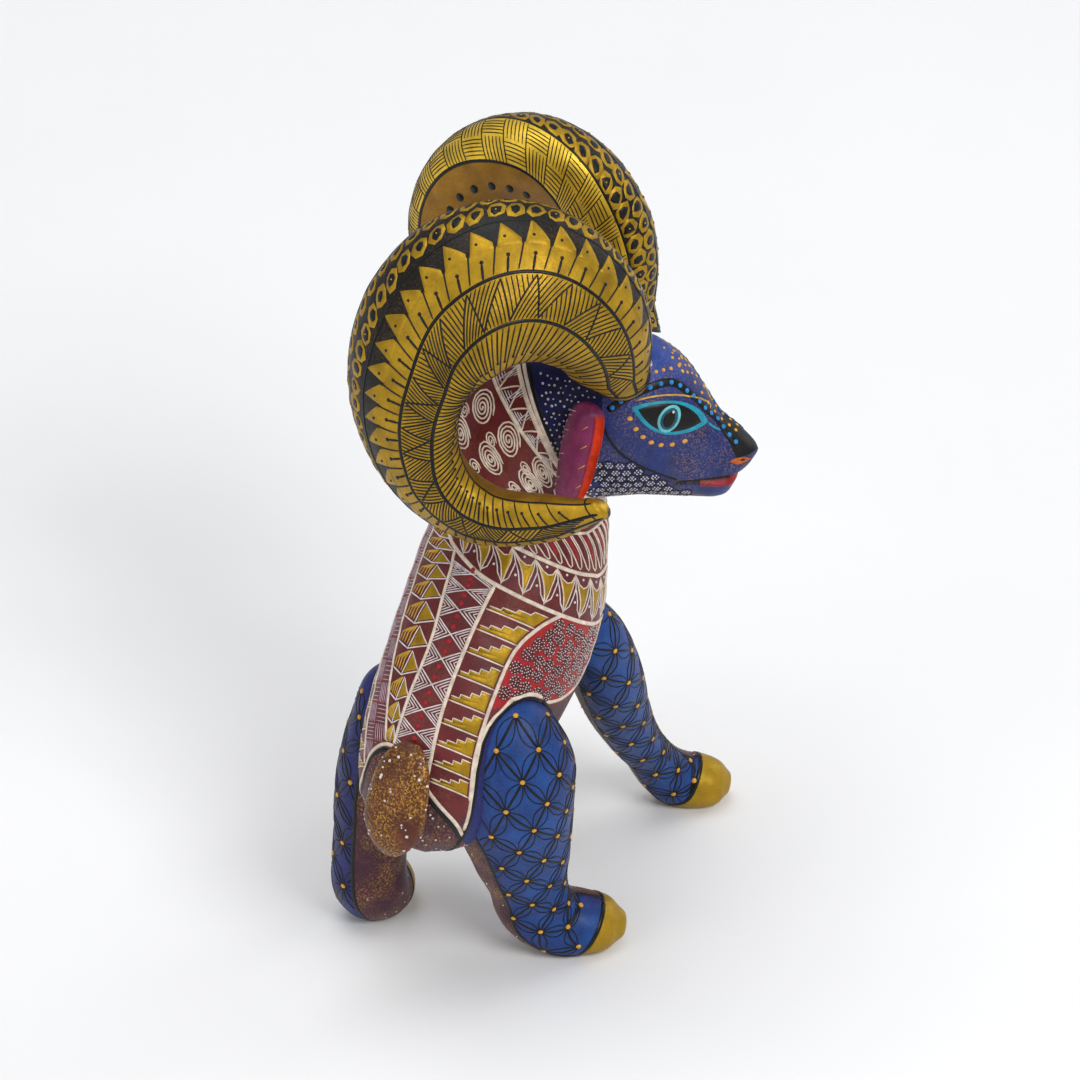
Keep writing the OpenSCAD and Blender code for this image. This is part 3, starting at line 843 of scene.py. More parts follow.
def horn_bands(piece, skin):
    black, amber = (piece, "black"), (piece, "amber")
    every = np.linspace(ROOT_LINE, 1.0, 130)
    for angle, width in ((OVAL_EDGE, 0.7), (TICK_EDGE, 1.15), (ZIGZAG_EDGE, 1.15), (CELLS_FROM - 2, 0.5),
                         (CELLS_TO, 0.8), (HATCH_TO, 1.1)):
        ink.stroke(black, skin, every, np.full(len(every), angle), width)
    for t, width in ((ROOT_LINE, 1.3), (0.994, 0.5)):
        ink.stroke(black, skin, np.full(61, t), np.linspace(0, 360, 61), width)
    # Ticks: full lines, and short ones with a round end
    count = 88
    for i in range(count):
        t = ROOT_LINE + 0.004 + 1.0 * i / count
        low, high = OVAL_EDGE + 3, TICK_EDGE - 2
        lean = 0.006
        if i % 2 == 0:
            ink.stroke(black, skin, [t, t + lean], [low, high], 0.48)
        else:
            end = low + RAND.uniform(0.4, 0.5) * (high - low)
            ink.stroke(black, skin, [t + lean, t], [high, end], 0.62)
            ink.dot(black, skin, t, end, 0.48)
    # Zigzag of hatched triangles
    count = 42
    tips = [ROOT_LINE + 0.006 + 1.01 * i / count for i in range(count + 1)]
    sides = [TICK_EDGE + 2, ZIGZAG_EDGE - 2]
    for i in range(count - 1):
        a = np.array([tips[i], sides[i % 2]])
        b = np.array([tips[i + 1], sides[(i + 1) % 2]])
        c = np.array([tips[i + 2], sides[i % 2]])
        ink.stroke(black, skin, [a[0], b[0]], [a[1], b[1]], 0.65)
        lines = 7
        for k in range(1, lines):
            f = k / lines
            if (i // 2) % 2:
                p, q = a + (c - a) * f, a + (b - a) * f
            else:
                p, q = c + (a - c) * f, c + (b - c) * f
            ink.stroke(black, skin, [p[0], q[0]], [p[1], q[1]], 0.46)
    # Teeth
    count = 31
    for i in range(count):
        t0 = ROOT_LINE + 0.006 + 1.0 * i / count
        step = 1.0 / count
        high = TEETH_TOP - 4 * RAND.random()
        ink.patch((piece, "gilt"), skin, [
            (t0 + 0.04 * step, TEETH_BASE - 1), (t0 + 0.96 * step, TEETH_BASE - 1),
            (t0 + 0.94 * step, high), (t0 + 0.1 * step, TEETH_BASE + 4)], height=0.05, rings=2)
        ink.stroke(black, skin, [t0, t0 + 0.02 * step], [ZIGZAG_EDGE + 2, TEETH_BASE + 3], 0.55)
        middle = t0 + 0.5 * step
        ink.stroke(black, skin, [t0 + 0.42 * step, middle], [ZIGZAG_EDGE + 1, ZIGZAG_EDGE + 13], 0.85)
        ink.dot(black, skin, middle, ZIGZAG_EDGE + 13.5, 0.62)
        ink.dot(black, skin, t0 + 0.72 * step, TEETH_BASE + 7, 0.5)
    # Rounded cells on the outer ridge
    count = 46
    for row, angle in enumerate((CELLS_FROM + 12, CELLS_FROM + 37)):
        for i in range(count):
            t = ROOT_LINE + 0.014 + 0.98 * (i + 0.5 * row) / count
            size = spline_at(HORN_SIZES, np.array([t]))[0]
            wide = 0.215 * size[2] + 0.5
            long = min(2.6, 2.2 + 0.02 * size[1])
            v = angle + jitter(1)
            if wide < 0.9:
                ink.dot(amber, skin, t, v, wide)
                continue
            ink.blob((piece, "gilt"), skin, t, v, long, wide, height=0.07, wobble=0.16, sides=7)
            ink.blob(black, skin, t, v, long * 0.56, wide * 0.58, height=0.14, wobble=0.28, sides=6)
            if i % 3 == 0:
                ink.dot(amber, skin, t, v, 0.28, height=0.3, sides=6)
    # Basket weave on the side towards the head
    count = 34
    low, high = CELLS_TO + 3, HATCH_TO - 2
    for i in range(count):
        t0, t1 = ROOT_LINE + 0.006 + 1.005 * i / count, ROOT_LINE + 0.006 + 1.005 * (i + 1) / count
        ink.stroke(black, skin, [t0, t0], [low, high], 0.4)
        for half in (0, 1):
            v0 = low + (high - low) * half / 2
            v1 = v0 + (high - low) / 2
            for k in range(1, 6):
                f = k / 6
                if (i + half) % 2:
                    ink.stroke(black, skin, [t0 + (t1 - t0) * f] * 2, [v0, v1], 0.38, gap=2.0)
                else:
                    ink.stroke(black, skin, [t0, t1], [v0 + (v1 - v0) * f] * 2, 0.38, gap=2.0)
    # Ovals along the hollow side
    count = 29
    for i in range(count):
        t = 0.03 + 0.93 * i / count
        grow = 0.6 + 0.5 * spline_at(HORN_SIZES, np.array([t]))[0][1] / 22.5
        ink.dot(black, skin, t, HATCH_TO - 360 + 32, 1.1 * grow, 1.85 * grow, 0.0, sides=14)


LINES["gilt"] = painted("gilt", GOLD, (0.85, 0.0, 0.8))

# ---- Torso ----
# Lines of the painting: station of the line at each angle from the spine, right side positive
NECK_LOW = [(-180, 7.4), (-110, 8.4), (-60, 8.3), (-27, 8.0), (-16, 7.5), (4, 6.85), (24, 6.6), (54, 6.5),
            (90, 6.6), (120, 6.9), (180, 7.4)]
NECK_HIGH = [(-180, 8.8), (-110, 9.6), (-60, 9.6), (-27, 9.4), (0, 8.9), (35, 8.2), (62, 7.8), (85, 7.7),
             (105, 7.8), (180, 8.8)]
ARCH = [(-115, 1.3), (-85, 1.5), (-50, 2.0), (-35, 2.7), (-18, 3.0), (0, 2.8), (10, 2.55), (32, 2.0),
        (60, 1.6), (85, 1.3), (115, 1.4)]
# Edges of the bands that run down the back: angle of the edge at each station
BAND_0 = [(2.4, -44), (4, -52), (5.5, -60), (8.2, -66)]
BAND_1 = [(3, -20), (4, -29), (5, -38), (6, -42), (8.1, -44)]
BAND_2 = [(2.9, -13), (4, -11), (5, -8), (6, -11), (7, -13), (7.7, -14)]
BAND_3 = [(2.5, 19), (4, 14.5), (5.5, 15), (6.7, 18)]
BAND_4 = [(2.4, 57), (3.2, 47), (4.0, 43), (4.8, 41.5), (5.5, 43), (6.1, 52), (6.5, 62)]
LEFT_FRET = [(2.2, -66), (4, -74), (5.5, -82), (8.4, -88)]
FLANK = [(4.3, 40), (4.7, 64), (5.0, 88), (5.5, 108), (6.0, 113), (6.75, 108)]
COLLAR = 1.25
BELLY_FROM = 118.0
BELLY_TO = -118.0


def line_at(points, x):
    keys, values = path(points)
    return np.interp(x, keys, values)


def neck_low(angle):
    return line_at(NECK_LOW, signed(angle))


def neck_high(angle):
    return line_at(NECK_HIGH, signed(angle))


def arch(angle):
    return line_at(ARCH, signed(angle))


def flank_low(angle):
    keys, values = path([(a, x) for x, a in FLANK[:4]])
    return np.interp(signed(angle), keys, values)


def in_flank(x, angle):
    """Inside the flank's patch, on the right side or the mirrored one on the left."""
    a = signed(angle)
    right = (a > line_at(BAND_4, x)) & (a < 111) & (x < neck_low(a) - 0.02) & (x > flank_low(a))
    left = (a < line_at(LEFT_FRET, x)) & (a > -109) & (x < neck_low(a) - 0.02) & (x > flank_low(-a) + 0.5)
    return right | left


def torso_tint(x, angle, points):
    paint, effect = blank(len(x), MAROON, (0.0, 0.12, 0.8))
    a = signed(angle)
    red = in_flank(x, angle)
    paint[red] = NETWORK_RED
    belly = ((a > BELLY_FROM) | (a < BELLY_TO)) & (x < neck_low(a)) | (x < arch(a)) \
        | (np.abs(a) > 60) & (x < flank_low(np.abs(a)) - 0.12) & (x < 5.4)
    paint[belly] = PLUM
    effect[belly] = (0.0, 0.6, 0.7)
    for lap in laps.values():
        blue = lap.holds(x, angle) & (x > arch(a) - 0.12)
        paint[blue] = ULTRAMARINE
        effect[blue] = (0.0, 0.05, 1.0)
    return paint, effect


def cell_edges(left, right, x0, x1):
    """A function from a share across and a share up the cell to station and angle."""
    def at(f, g):
        x = x0 + (x1 - x0) * g
        a, b = line_at(left, x), line_at(right, x)
        return x, a + (b - a) * f

    return at


def draw(key, skin, at, points, width, keep=None, height=0.14):
    uv = [at(f, g) for f, g in points]
    ink.stroke(key, skin, [p[0] for p in uv], [p[1] for p in uv], width, height, keep=keep)


def fill(key, skin, at, points, height=0.08, centre=None):
    ink.patch(key, skin, [at(f, g) for f, g in points], height, 3, at(*centre) if centre else None)


def outside_laps(x, angle):
    x, angle = np.asarray(x, float), np.asarray(angle, float)
    return ~np.any([lap.holds(x, angle) for lap in laps.values()], axis=0)


def above_arch(x, angle):
    inside = (x > arch(angle) + 0.06) & (x < neck_low(angle) + 0.02)
    return inside & outside_laps(x, angle) if np.ndim(inside) else inside


def torso_bands(skin):
    name = "torso"
    cream, white, lilac = (name, "cream"), (name, "white"), (name, "lilac")
    gold, red = (name, "gilt"), (name, "red")
    # Thick borders
    for line in (NECK_LOW, NECK_HIGH):
        a, x = path(line)
        ink.stroke(cream, skin, x, a, 1.25, 0.2)
    a, x = path(ARCH)
    ink.stroke(cream, skin, x, a, 1.2, 0.2, keep=outside_laps)
    ink.stroke((name, "black"), skin, x - 0.14, a, 1.5, 0.12, keep=outside_laps)
    widths = (0.9, 0.9, 1.1, 1.2, 1.2, 1.1)
    for band, width in zip((BAND_0, BAND_1, BAND_2, BAND_3, BAND_4, LEFT_FRET), widths):
        x, a = path(band)
        ink.stroke(cream, skin, x, a, width, 0.2, keep=above_arch)
    for x, a in (path(FLANK), path([(x + 0.5, -a) for x, a in FLANK[1:]] + [(8.35, -107)])):
        ink.stroke(cream, skin, x, a, 1.2, 0.2, keep=outside_laps)
    # Basket hatch beside the spine
    pitch = 0.4
    for i in range(14):
        at = cell_edges(BAND_0, BAND_1, 2.6 + pitch * i, 2.6 + pitch * (i + 1))
        for half in (0, 1):
            f0 = 0.04 + 0.48 * half
            for k in range(5):
                g = (k + 0.5) / 5
                f = f0 + 0.44 * g
                line = [(f0, g), (f0 + 0.44, g)] if (i + half) % 2 else [(f, 0.02), (f, 0.96)]
                draw(lilac, skin, at, line, 0.26, above_arch, 0.06)
        x, a = at(0.5, 0.0)
        if above_arch(x, a):
            ink.dot(red, skin, x, a, 0.5)
    # Spine: gold triangles with fans of strokes
    pitch = 0.46
    for i in range(11):
        x0 = 3.0 + pitch * i
        at = cell_edges(BAND_1, BAND_2, x0, x0 + pitch)
        if not above_arch(*at(0.5, 0.9)):
            continue
        draw(white, skin, at, [(0.03, 0.25), (0.45, 0.0), (0.97, 0.3)], 0.45, above_arch)
        draw(white, skin, at, [(0.97, 0.3), (0.62, 0.95), (0.45, 0.0)], 0.35, above_arch)
        fill(gold, skin, at, [(0.5, 0.08), (0.93, 0.36), (0.64, 0.86)])
        for k in range(4):
            f = 0.1 + 0.1 * k
            fan = [(f, 0.3 - 0.05 * k), (f + 0.05, 0.62), (0.56, 0.95)]
            draw((name, "gold"), skin, at, fan, 0.42, above_arch)
    # Crossed lines with nested chevrons
    pitch = 0.47
    for i in range(9):
        x0 = 2.72 + pitch * i
        at = cell_edges(BAND_2, BAND_3, x0, x0 + pitch)
        draw(white, skin, at, [(0.02, 0.0), (0.98, 1.0)], 0.42, above_arch)
        draw(white, skin, at, [(0.98, 0.0), (0.02, 1.0)], 0.42, above_arch)
        for k in (1, 2, 3):
            s = 0.12 * k
            for side in (0, 1):
                f0, f1 = abs(side - 0.03), abs(side - (0.5 - s))
                draw(white, skin, at, [(f0, s), (f1, 0.5), (f0, 1 - s)], 0.36, above_arch)
        for g in (0.21, 0.79):
            x, a = at(0.5, g)
            if above_arch(x, a):
                ink.dot(red, skin, x, a, 0.85, height=0.3)
    # Stepped fret
    frets(skin, BAND_3, BAND_4, 2.45, 9, 0.44)
    frets(skin, BAND_0, LEFT_FRET, 2.3, 12, 0.46)
    flank_cells(skin)
    necklace(skin)
    neck_spirals(skin)
    speckle(skin, name, "white", 150, lambda: (RAND.uniform(0.2, 5.0), RAND.uniform(0, 360)),
            lambda x, a: (x < arch(a) - 0.2) | (np.abs(signed(a)) > 122) & (x < neck_low(a) - 0.3), 0.22, 0.4)


# A fret's outline, as shares across and up its cell
STEPS = [(0.08, 0.1), (0.92, 0.1), (0.92, 0.82), (0.7, 0.82), (0.7, 0.6), (0.5, 0.6), (0.5, 0.4),
         (0.28, 0.4), (0.28, 0.24), (0.08, 0.24)]


def frets(skin, left, right, start, count, pitch):
    """A column of stepped gold shapes between two edges."""
    cream = ("torso", "cream")
    for i in range(count):
        x0 = start + pitch * i
        at = cell_edges(left, right, x0, x0 + pitch)
        if not (above_arch(*at(0.5, 0.1)) and above_arch(*at(0.5, 1.0))):
            continue
        fill(("torso", "gilt"), skin, at, STEPS, centre=(0.74, 0.32))
        draw(cream, skin, at, STEPS[2:], 0.42, above_arch)
        draw(cream, skin, at, [(0.05, 0.04), (0.95, 0.04)], 0.5, above_arch)


def flank_cells(skin):
    """Rings of white dots on dark cells in the red network."""
    for mirror in (1, -1):
        for row in range(12):
            for col in range(10):
                x = 4.15 + 0.265 * row + jitter(0.03)
                a = mirror * (38 + 8.5 * (col + 0.5 * (row % 2)) + jitter(0.8))
                x += 0.35 if mirror < 0 else 0
                if not (in_flank(x - 0.08, a) and in_flank(x + 0.08, a)
                        and in_flank(x, a - 2) and in_flank(x, a + 2)) or lapped(x, a):
                    continue
                ink.blob(("torso", "maroon"), skin, x, a, 2.0, 2.0, 0.06, 0.13, sides=9, rings=3)
                du, dv = skin.step(x, a)
                for r, number in ((1.6, 11), (0.9, 6), (0.25, 2)):
                    for k in range(number):
                        t = k * 2 * math.pi / number + jitter(0.15) + row
                        u, v = x + math.cos(t) * r * du, a + math.sin(t) * r * dv
                        ink.dot(("torso", "white"), skin, u, v, 0.21, height=0.24, sides=6)


# Outline of a necklace tile, and a loop of the collar, as shares along and up
TILE = [(0.0, 0.93), (0.25, 0.72), (0.5, 0.66), (0.75, 0.72), (1.0, 0.93), (0.8, 0.6), (0.67, 0.4),
        (0.5, 0.05), (0.33, 0.4), (0.2, 0.6)]
LOOP = [(0.1, 1.0), (0.12, 0.35), (0.3, 0.06), (0.5, 0.0), (0.7, 0.06), (0.88, 0.35), (0.9, 1.0)]


def necklace(skin):
    """Gold three-pointed tiles between maroon petals."""
    cream, white, gold = ("torso", "cream"), ("torso", "white"), ("torso", "gilt")
    count = 26
    for i in range(count):
        a0 = -180 + 360 * i / count
        da = 360 / count

        def at(f, g):
            a = a0 + da * f
            low, high = float(neck_low(a)), float(neck_high(a))
            return low + (high - low) * g, a

        fill(gold, skin, at, TILE, centre=(0.5, 0.55))
        draw(cream, skin, at, TILE + TILE[:1], 0.45)
        draw(white, skin, at, [(0.5, 0.08), (0.75, 0.2), (1.0, 0.62), (1.0, 0.93)], 0.4)
        draw(white, skin, at, [(0.5, 0.08), (0.25, 0.2), (0.0, 0.62)], 0.4)
        for f, g in ((0.02, 0.32), (0.5, 0.86)):
            u, v = at(f, g)
            ink.dot(white, skin, u, v, 0.42)
    # Loops of the collar
    count = 46
    for i in range(count):
        a0, da = 360 * i / count, 360 / count

        def up(f, g):
            a = a0 + da * f
            base = float(neck_high(a))
            return base + 0.12 + COLLAR * g, a

        draw(cream, skin, up, LOOP, 0.42)
        draw(("torso", "red" if i % 2 else "maroon"), skin, up, [(0.5, 0.25), (0.5, 0.95)], 1.0, height=0.1)
    a = np.linspace(-180, 180, 121)
    ink.stroke(cream, skin, neck_high(a) + 0.12 + COLLAR, a, 0.9, 0.18)


def spiral(key, skin, x, a, radius, turns, width):
    du, dv = skin.step(x, a)
    t = np.linspace(0, 1, int(14 * turns))
    r = 0.2 + (radius - 0.2) * t
    turned = turns * 2 * math.pi * t
    ink.stroke(key, skin, x + r * np.cos(turned) * du, a + r * np.sin(turned) * dv, width)


def neck_spirals(skin):
    """Spirals up the neck, and a band of hatched triangles under the head."""
    cream, white = ("torso", "cream"), ("torso", "white")
    around_it = np.linspace(-180, 180, 91)
    wide, tall, seam = 8.8, 6.2, 11.9
    du, _ = skin.step(11.4, 60.0)
    band = seam - tall * du
    ink.stroke(cream, skin, np.full(91, seam), around_it, 1.5, 0.2)
    ink.stroke(cream, skin, np.full(91, band), around_it, 1.1, 0.2)
    count = 22
    for k in range(count):
        a0, a1 = 360 * k / count, 360 * (k + 1) / count
        half = (a0 + a1) / 2
        ink.stroke(cream, skin, [band, seam - 0.05, band], [a0, half, a1], 0.55)
        for i in range(1, 5):
            f = i / 5
            ends = [a0 + (half - a0) * f, a1 - (a1 - half) * f]
            ink.stroke(white, skin, [band + (seam - band) * f * 0.5] * 2, ends, 0.34)
            top = seam - 0.05
            ink.stroke(white, skin, [top, top - (seam - band) * (1 - f)], [half + (a1 - half) * f] * 2, 0.34)
    across = int(2 * math.pi * 17 / wide)
    for row in range(4):
        for k in range(across):
            a = 360 * (k + 0.5 * (row % 2)) / across + jitter(2)
            x = band - (4.7 + 7.4 * row) * du
            if x - 2.2 * du < float(neck_high(a)) + 0.12 + COLLAR:
                continue
            fits = x - 4.1 * du > float(neck_high(a)) + 0.12 + COLLAR
            spiral(cream, skin, x, a, 4.2 if fits else 2.4, 4.2 if fits else 2.6, 0.55)
            b = a + 180 / across
            if x + 3.2 * du < band and x - 3 * du > float(neck_high(b)) + 0.12 + COLLAR:
                spiral(cream, skin, x - 3.7 * du, b, 2.0, 2.2, 0.45)


def speckle(skin, piece, colour, count, where, keep, r_low, r_high):
    for _ in range(count):
        u, v = where()
        if keep(u, v):
            ink.dot((piece, colour), skin, u, v, RAND.uniform(r_low, r_high), sides=7)


# ---- Legs ----
LATTICE_WIDE = 5.7
LATTICE_TALL = 6.4


class Leg:
    """hoof is the station where the gold starts; front and back say how far the blue runs round
    from the outer side, in degrees."""

    def __init__(self, name, right, hoof, front, back):
        self.name, self.right, self.hoof, self.front, self.back = name, right, hoof, front, back
        self.point = leg_point(LEG_ROWS[name])
        last = len(LEG_ROWS[name]) - 1
        self.skin = Skin(self.point, 0, last, 230, 144, carve=0.1)
        self.skin.p[..., 2] = np.maximum(self.skin.p[..., 2], 0.0)
        middle = self.skin.p[:, :-1].mean(1)
        self.run = np.concatenate([[0], np.cumsum(np.linalg.norm(np.diff(middle, axis=0), axis=1))])
        self.stations = np.linspace(0, last, self.skin.stations + 1)

    def away(self, angle):
        """Angle from the outer side, positive towards the back of the leg."""
        outer = 90.0 if self.right else 270.0
        return signed(np.asarray(angle) - outer) * (1 if self.right else -1)

    def angle(self, away):
        return 90.0 + away if self.right else 270.0 - away

    def hoof_at(self, angle):
        """Station where the gold starts: further forward on top than underneath."""
        return self.hoof - 0.3 + 0.5 * np.cos(np.radians(angle))

    def blue(self, angle):
        a = self.away(angle)
        return (a < self.back) & (a > -self.front)

    def tint(self, x, angle, points):
        paint, effect = blank(len(x), PLUM, (0.0, 0.85, 0.8))
        blue = self.blue(angle)
        # Painted light and shade: the leg's blue is lightest a little forward of the outer side and darkens
        # towards ULTRAMARINE round the leg
        share = np.clip(np.abs(self.away(angle) + 25) / 75, 0, 1)[:, None] ** 2
        lit_and_shaded_blues = np.array(LIT_COBALT) * (1 - share) + np.array(ULTRAMARINE) * share
        paint[blue] = lit_and_shaded_blues[blue]
        effect[blue] = (0.0, 0.05, 1.0)
        toe = x > self.hoof_at(angle)
        paint[toe] = GOLD
        effect[toe] = (0.7, 0.0, 0.5)
        return paint, effect

    def draw(self, hidden):
        black, amber = (self.name, "black"), (self.name, "amber")
        skin = self.skin
        edge = self.hoof + 0.1
        for away in (self.back, -self.front):
            angle = self.angle(away)
            ink.stroke(black, skin, np.linspace(0.4, self.hoof_at(angle) - 0.05, 90), np.full(90, angle), 1.3)
        v = np.linspace(0, 360, 61)
        ink.stroke(black, skin, self.hoof_at(v), v, 1.5)
        run_end = float(np.interp(edge, self.stations, self.run))

        def where(b, s):
            x = float(np.interp(s, self.run, self.stations))
            p, _ = skin.look([x, x], [self.angle(-4), self.angle(4)])
            return x, self.angle(b / max(np.linalg.norm(p[1] - p[0]), 0.1) * 8)

        def keep(u, a):
            return self.blue(a) & (u < self.hoof_at(a) - 0.1)

        rows = int(run_end / LATTICE_TALL) + 1
        for m in range(-5, 6):
            for k in range(rows + 1):
                if (m + k) % 2:
                    continue
                b0, s0 = m * LATTICE_WIDE, k * LATTICE_TALL
                if s0 < 3 or s0 > run_end:
                    continue
                for way in (-1, 1):
                    b1, s1 = b0 + way * LATTICE_WIDE, s0 + LATTICE_TALL
                    if s1 > run_end:
                        continue
                    f = np.linspace(0, 1, 9)
                    for bow, width in ((0.0, 0.85), (1.9, 0.4), (-1.9, 0.4)):
                        off = bow * np.sin(f * math.pi)
                        nb, ns = LATTICE_TALL, -way * LATTICE_WIDE
                        size = math.hypot(nb, ns)
                        pts = [where(b0 + (b1 - b0) * g + nb / size * o, s0 + (s1 - s0) * g + ns / size * o)
                               for g, o in zip(f, off)]
                        u = np.array([p[0] for p in pts])
                        a = np.array([p[1] for p in pts])
                        if hidden(skin, u[4], a[4]):
                            continue
                        ink.stroke(black, skin, u, a, width, keep=keep, gap=3.0)
                u, a = where(b0, s0)
                if keep(np.array([u]), np.array([a]))[0] and not hidden(skin, u, a):
                    ink.dot(amber, skin, u, a, 0.82, height=0.3, sides=12)
        # White dots and gold flecks on the inner side
        for _ in range(70):
            u, a = RAND.uniform(0.8, self.hoof - 0.05), RAND.uniform(0, 360)
            painted_over = self.blue(a) or u > self.hoof_at(a) - 0.15
            if painted_over or abs(self.away(a) - self.back) < 6 or hidden(skin, u, a):
                continue
            ink.dot((self.name, "white"), skin, u, a, RAND.uniform(0.2, 0.38), sides=7)


class Lap:
    """Where a leg meets the torso: its blue laps over the joint by a few millimetres, inside a black line."""

    def __init__(self, leg, torso_skin, tree, reach):
        self.leg, self.skin = leg, torso_skin
        grid = torso_skin.p[:, :-1]
        finder = KDTree(grid.shape[0] * grid.shape[1])
        for i, point in enumerate(grid.reshape(-1, 3)):
            finder.insert(point, i)
        finder.balance()
        stations = np.linspace(torso_skin.first, torso_skin.last, grid.shape[0])
        angles = np.arange(grid.shape[1]) * 360 / grid.shape[1]
        x = np.linspace(0.1, 8.0, 90)
        found = []
        for v in range(0, 360, 6):
            p, n = leg.skin.look(x, np.full(len(x), float(v)))
            inside = []
            for q in p:
                near, normal, _, _ = tree.find_nearest(Vector(q))
                inside.append((Vector(q) - near).dot(normal) < 0)
            if not any(inside) or all(inside):
                continue
            last = max(i for i, deep in enumerate(inside) if deep)
            away = float(leg.away(v))
            # The lap is widest on the outer side and fades towards the front and the inner side
            out = reach * np.clip((away + 10) / 45, 0, 1) * np.clip((leg.back + 60 - away) / 40, 0, 1) + 0.5
            row = []
            for extra in (out, out + 1.15):
                _, i, _ = finder.find(Vector(p[last] + n[last] * extra))
                row += [stations[i // grid.shape[1]], angles[i % grid.shape[1]]]
            found.append(row)
        # Station and angle of the lap's edge, and of the border outside it
        loop = np.array(found)
        for column in (1, 3):
            loop[:, column] = np.degrees(np.unwrap(np.radians(loop[:, column])))
        loop = (np.roll(loop, 1, axis=0) + 2 * loop + np.roll(loop, -1, axis=0)) / 4
        self.edge_x, self.edge_a, self.border_x, self.border_a = np.concatenate([loop, loop[:1]]).T

    def holds(self, x, angle):
        """Inside the lapped area, by crossings of its outline."""
        edge_x, edge_a = self.edge_x, self.edge_a
        middle = edge_a.mean()
        a = (np.asarray(angle) - middle + 180) % 360 - 180 + middle
        odd = np.zeros(len(a), bool)
        for x0, x1, a0, a1 in zip(edge_x, edge_x[1:], edge_a, edge_a[1:]):
            if x0 != x1:
                odd ^= ((x > x0) != (x > x1)) & (a < a0 + (x - x0) / (x1 - x0) * (a1 - a0))
        return odd

    def near(self, x, angle):
        return bool(self.holds(np.array([x]), np.array([angle]))[0])

    def draw(self):
        ink.stroke(("torso", "black"), self.skin, self.edge_x, self.edge_a, 1.3, 0.24)
        if "hind" in self.leg.name:
            ink.stroke(("torso", "cream"), self.skin, self.border_x, self.border_a, 1.35, 0.22,
                       keep=lambda x, a: (x > arch(a) + 0.05) & (np.abs(signed(a)) < 92))


# ---- Head ----
class Side:
    """The head seen from one side: forward of the neck axis and up, in millimetres, dropped onto its skin."""

    def __init__(self, tree, way):
        self.tree, self.way = tree, way

    def look(self, forward, up):
        forward, up = np.broadcast_arrays(np.asarray(forward, float), np.asarray(up, float))
        p, n = [], []
        into = -rightward(0.0) * self.way
        for f, z in zip(forward, up):
            start = place(0.0, np.array([f, 60.0 * self.way, z]))
            hit, normal, _, _ = self.tree.ray_cast(Vector(start), Vector(into))
            if hit is None:
                inside = place(0.0, np.array([f, 3.0 * self.way, z]))
                hit, normal, _, _ = self.tree.find_nearest(Vector(inside))
            p.append(hit)
            n.append(normal)
        return np.array(p), np.array(n)

    def step(self, u, v):
        return 1.0, 1.0


MOUTH_FROM = 37.5
MOUTH_UP = 133.9
NOSE_FROM = 52.0


def groove(skin):
    """Presses the mouth's slit into the head's skin."""
    forward = -(skin.p[..., 1] - AXIS[1])
    up = skin.p[..., 2]
    line = MOUTH_UP + 0.035 * (MOUTH_FROM + 7 - forward)
    open_by = 0.7 + 0.75 * np.clip((forward - MOUTH_FROM - 5) / 8, 0, 1)
    across = np.clip(1.3 - np.abs(up - line) / open_by, 0, 1)
    depth = 1.5 * open_by * across * np.clip((forward - MOUTH_FROM) / 2, 0, 1)
    skin.p = skin.p - skin.n * depth[..., None]
    skin.n = Skin.normals(skin.p)


def head_tint(x, angle, points):
    paint, effect = blank(len(x), linear(24, 44, 106), (0.0, 0.35, 1.0))
    forward = -(points[:, 1] - AXIS[1])
    up = points[:, 2]
    # Painted highlight: the head's blue turns lighter towards the top, from 158 mm up to 168 mm
    crown_highlight_share = np.clip((up - 158) / 10, 0, 1)[:, None]
    paint = paint * (1 - crown_highlight_share) + np.array(FOREHEAD_HIGHLIGHT) * crown_highlight_share
    back = forward < 19.5 + 0.55 * (up - 150) * (up < 150)
    paint[back & (up < 168)] = NAVY
    effect[back] = (0.0, 0.0, 0.5)
    nose = (forward > NOSE_FROM + 0.5 * (142.5 - up)) & (up > 140.4)
    paint[nose] = BLACK
    effect[nose] = (0.0, 0.0, 0.3)
    line = MOUTH_UP + 0.035 * (MOUTH_FROM + 7 - forward)
    open_by = 0.75 + 0.75 * np.clip((forward - MOUTH_FROM - 5) / 8, 0, 1)
    lip = (forward > 44) & (up < line) & (up > line - open_by - 0.6)
    paint[lip] = linear(158, 18, 34)
    slit = (forward > MOUTH_FROM) & (np.abs(up - line) < open_by) & ~(lip & (up < line - 0.3 * open_by))
    paint[slit] = BLACK
    return paint, effect


def almond(middle, half_long, rise, drop, tilt, n=12):
    """An eye's outline, from its back corner over the top to its front corner and back."""
    t = np.linspace(0, 1, n)
    top = [(-half_long + 2 * half_long * f, rise * math.sin(math.pi * f) ** 0.8) for f in t]
    low = [(half_long - 2 * half_long * f, -drop * math.sin(math.pi * f) ** 0.9) for f in t[1:-1]]
    c, s = math.cos(tilt), math.sin(tilt)
    return [(middle[0] + u * c - v * s, middle[1] + u * s + v * c) for u, v in top + low]


def oval(middle, half_long, half_tall, tilt, n=20):
    c, s = math.cos(tilt), math.sin(tilt)
    out = []
    for k in range(n):
        a = 2 * math.pi * k / n
        u, v = half_long * math.cos(a), half_tall * math.sin(a)
        out.append((middle[0] + u * c - v * s, middle[1] + u * s + v * c))
    return out


EYE = (36.2, 154.9)
EYE_TILT = -0.43


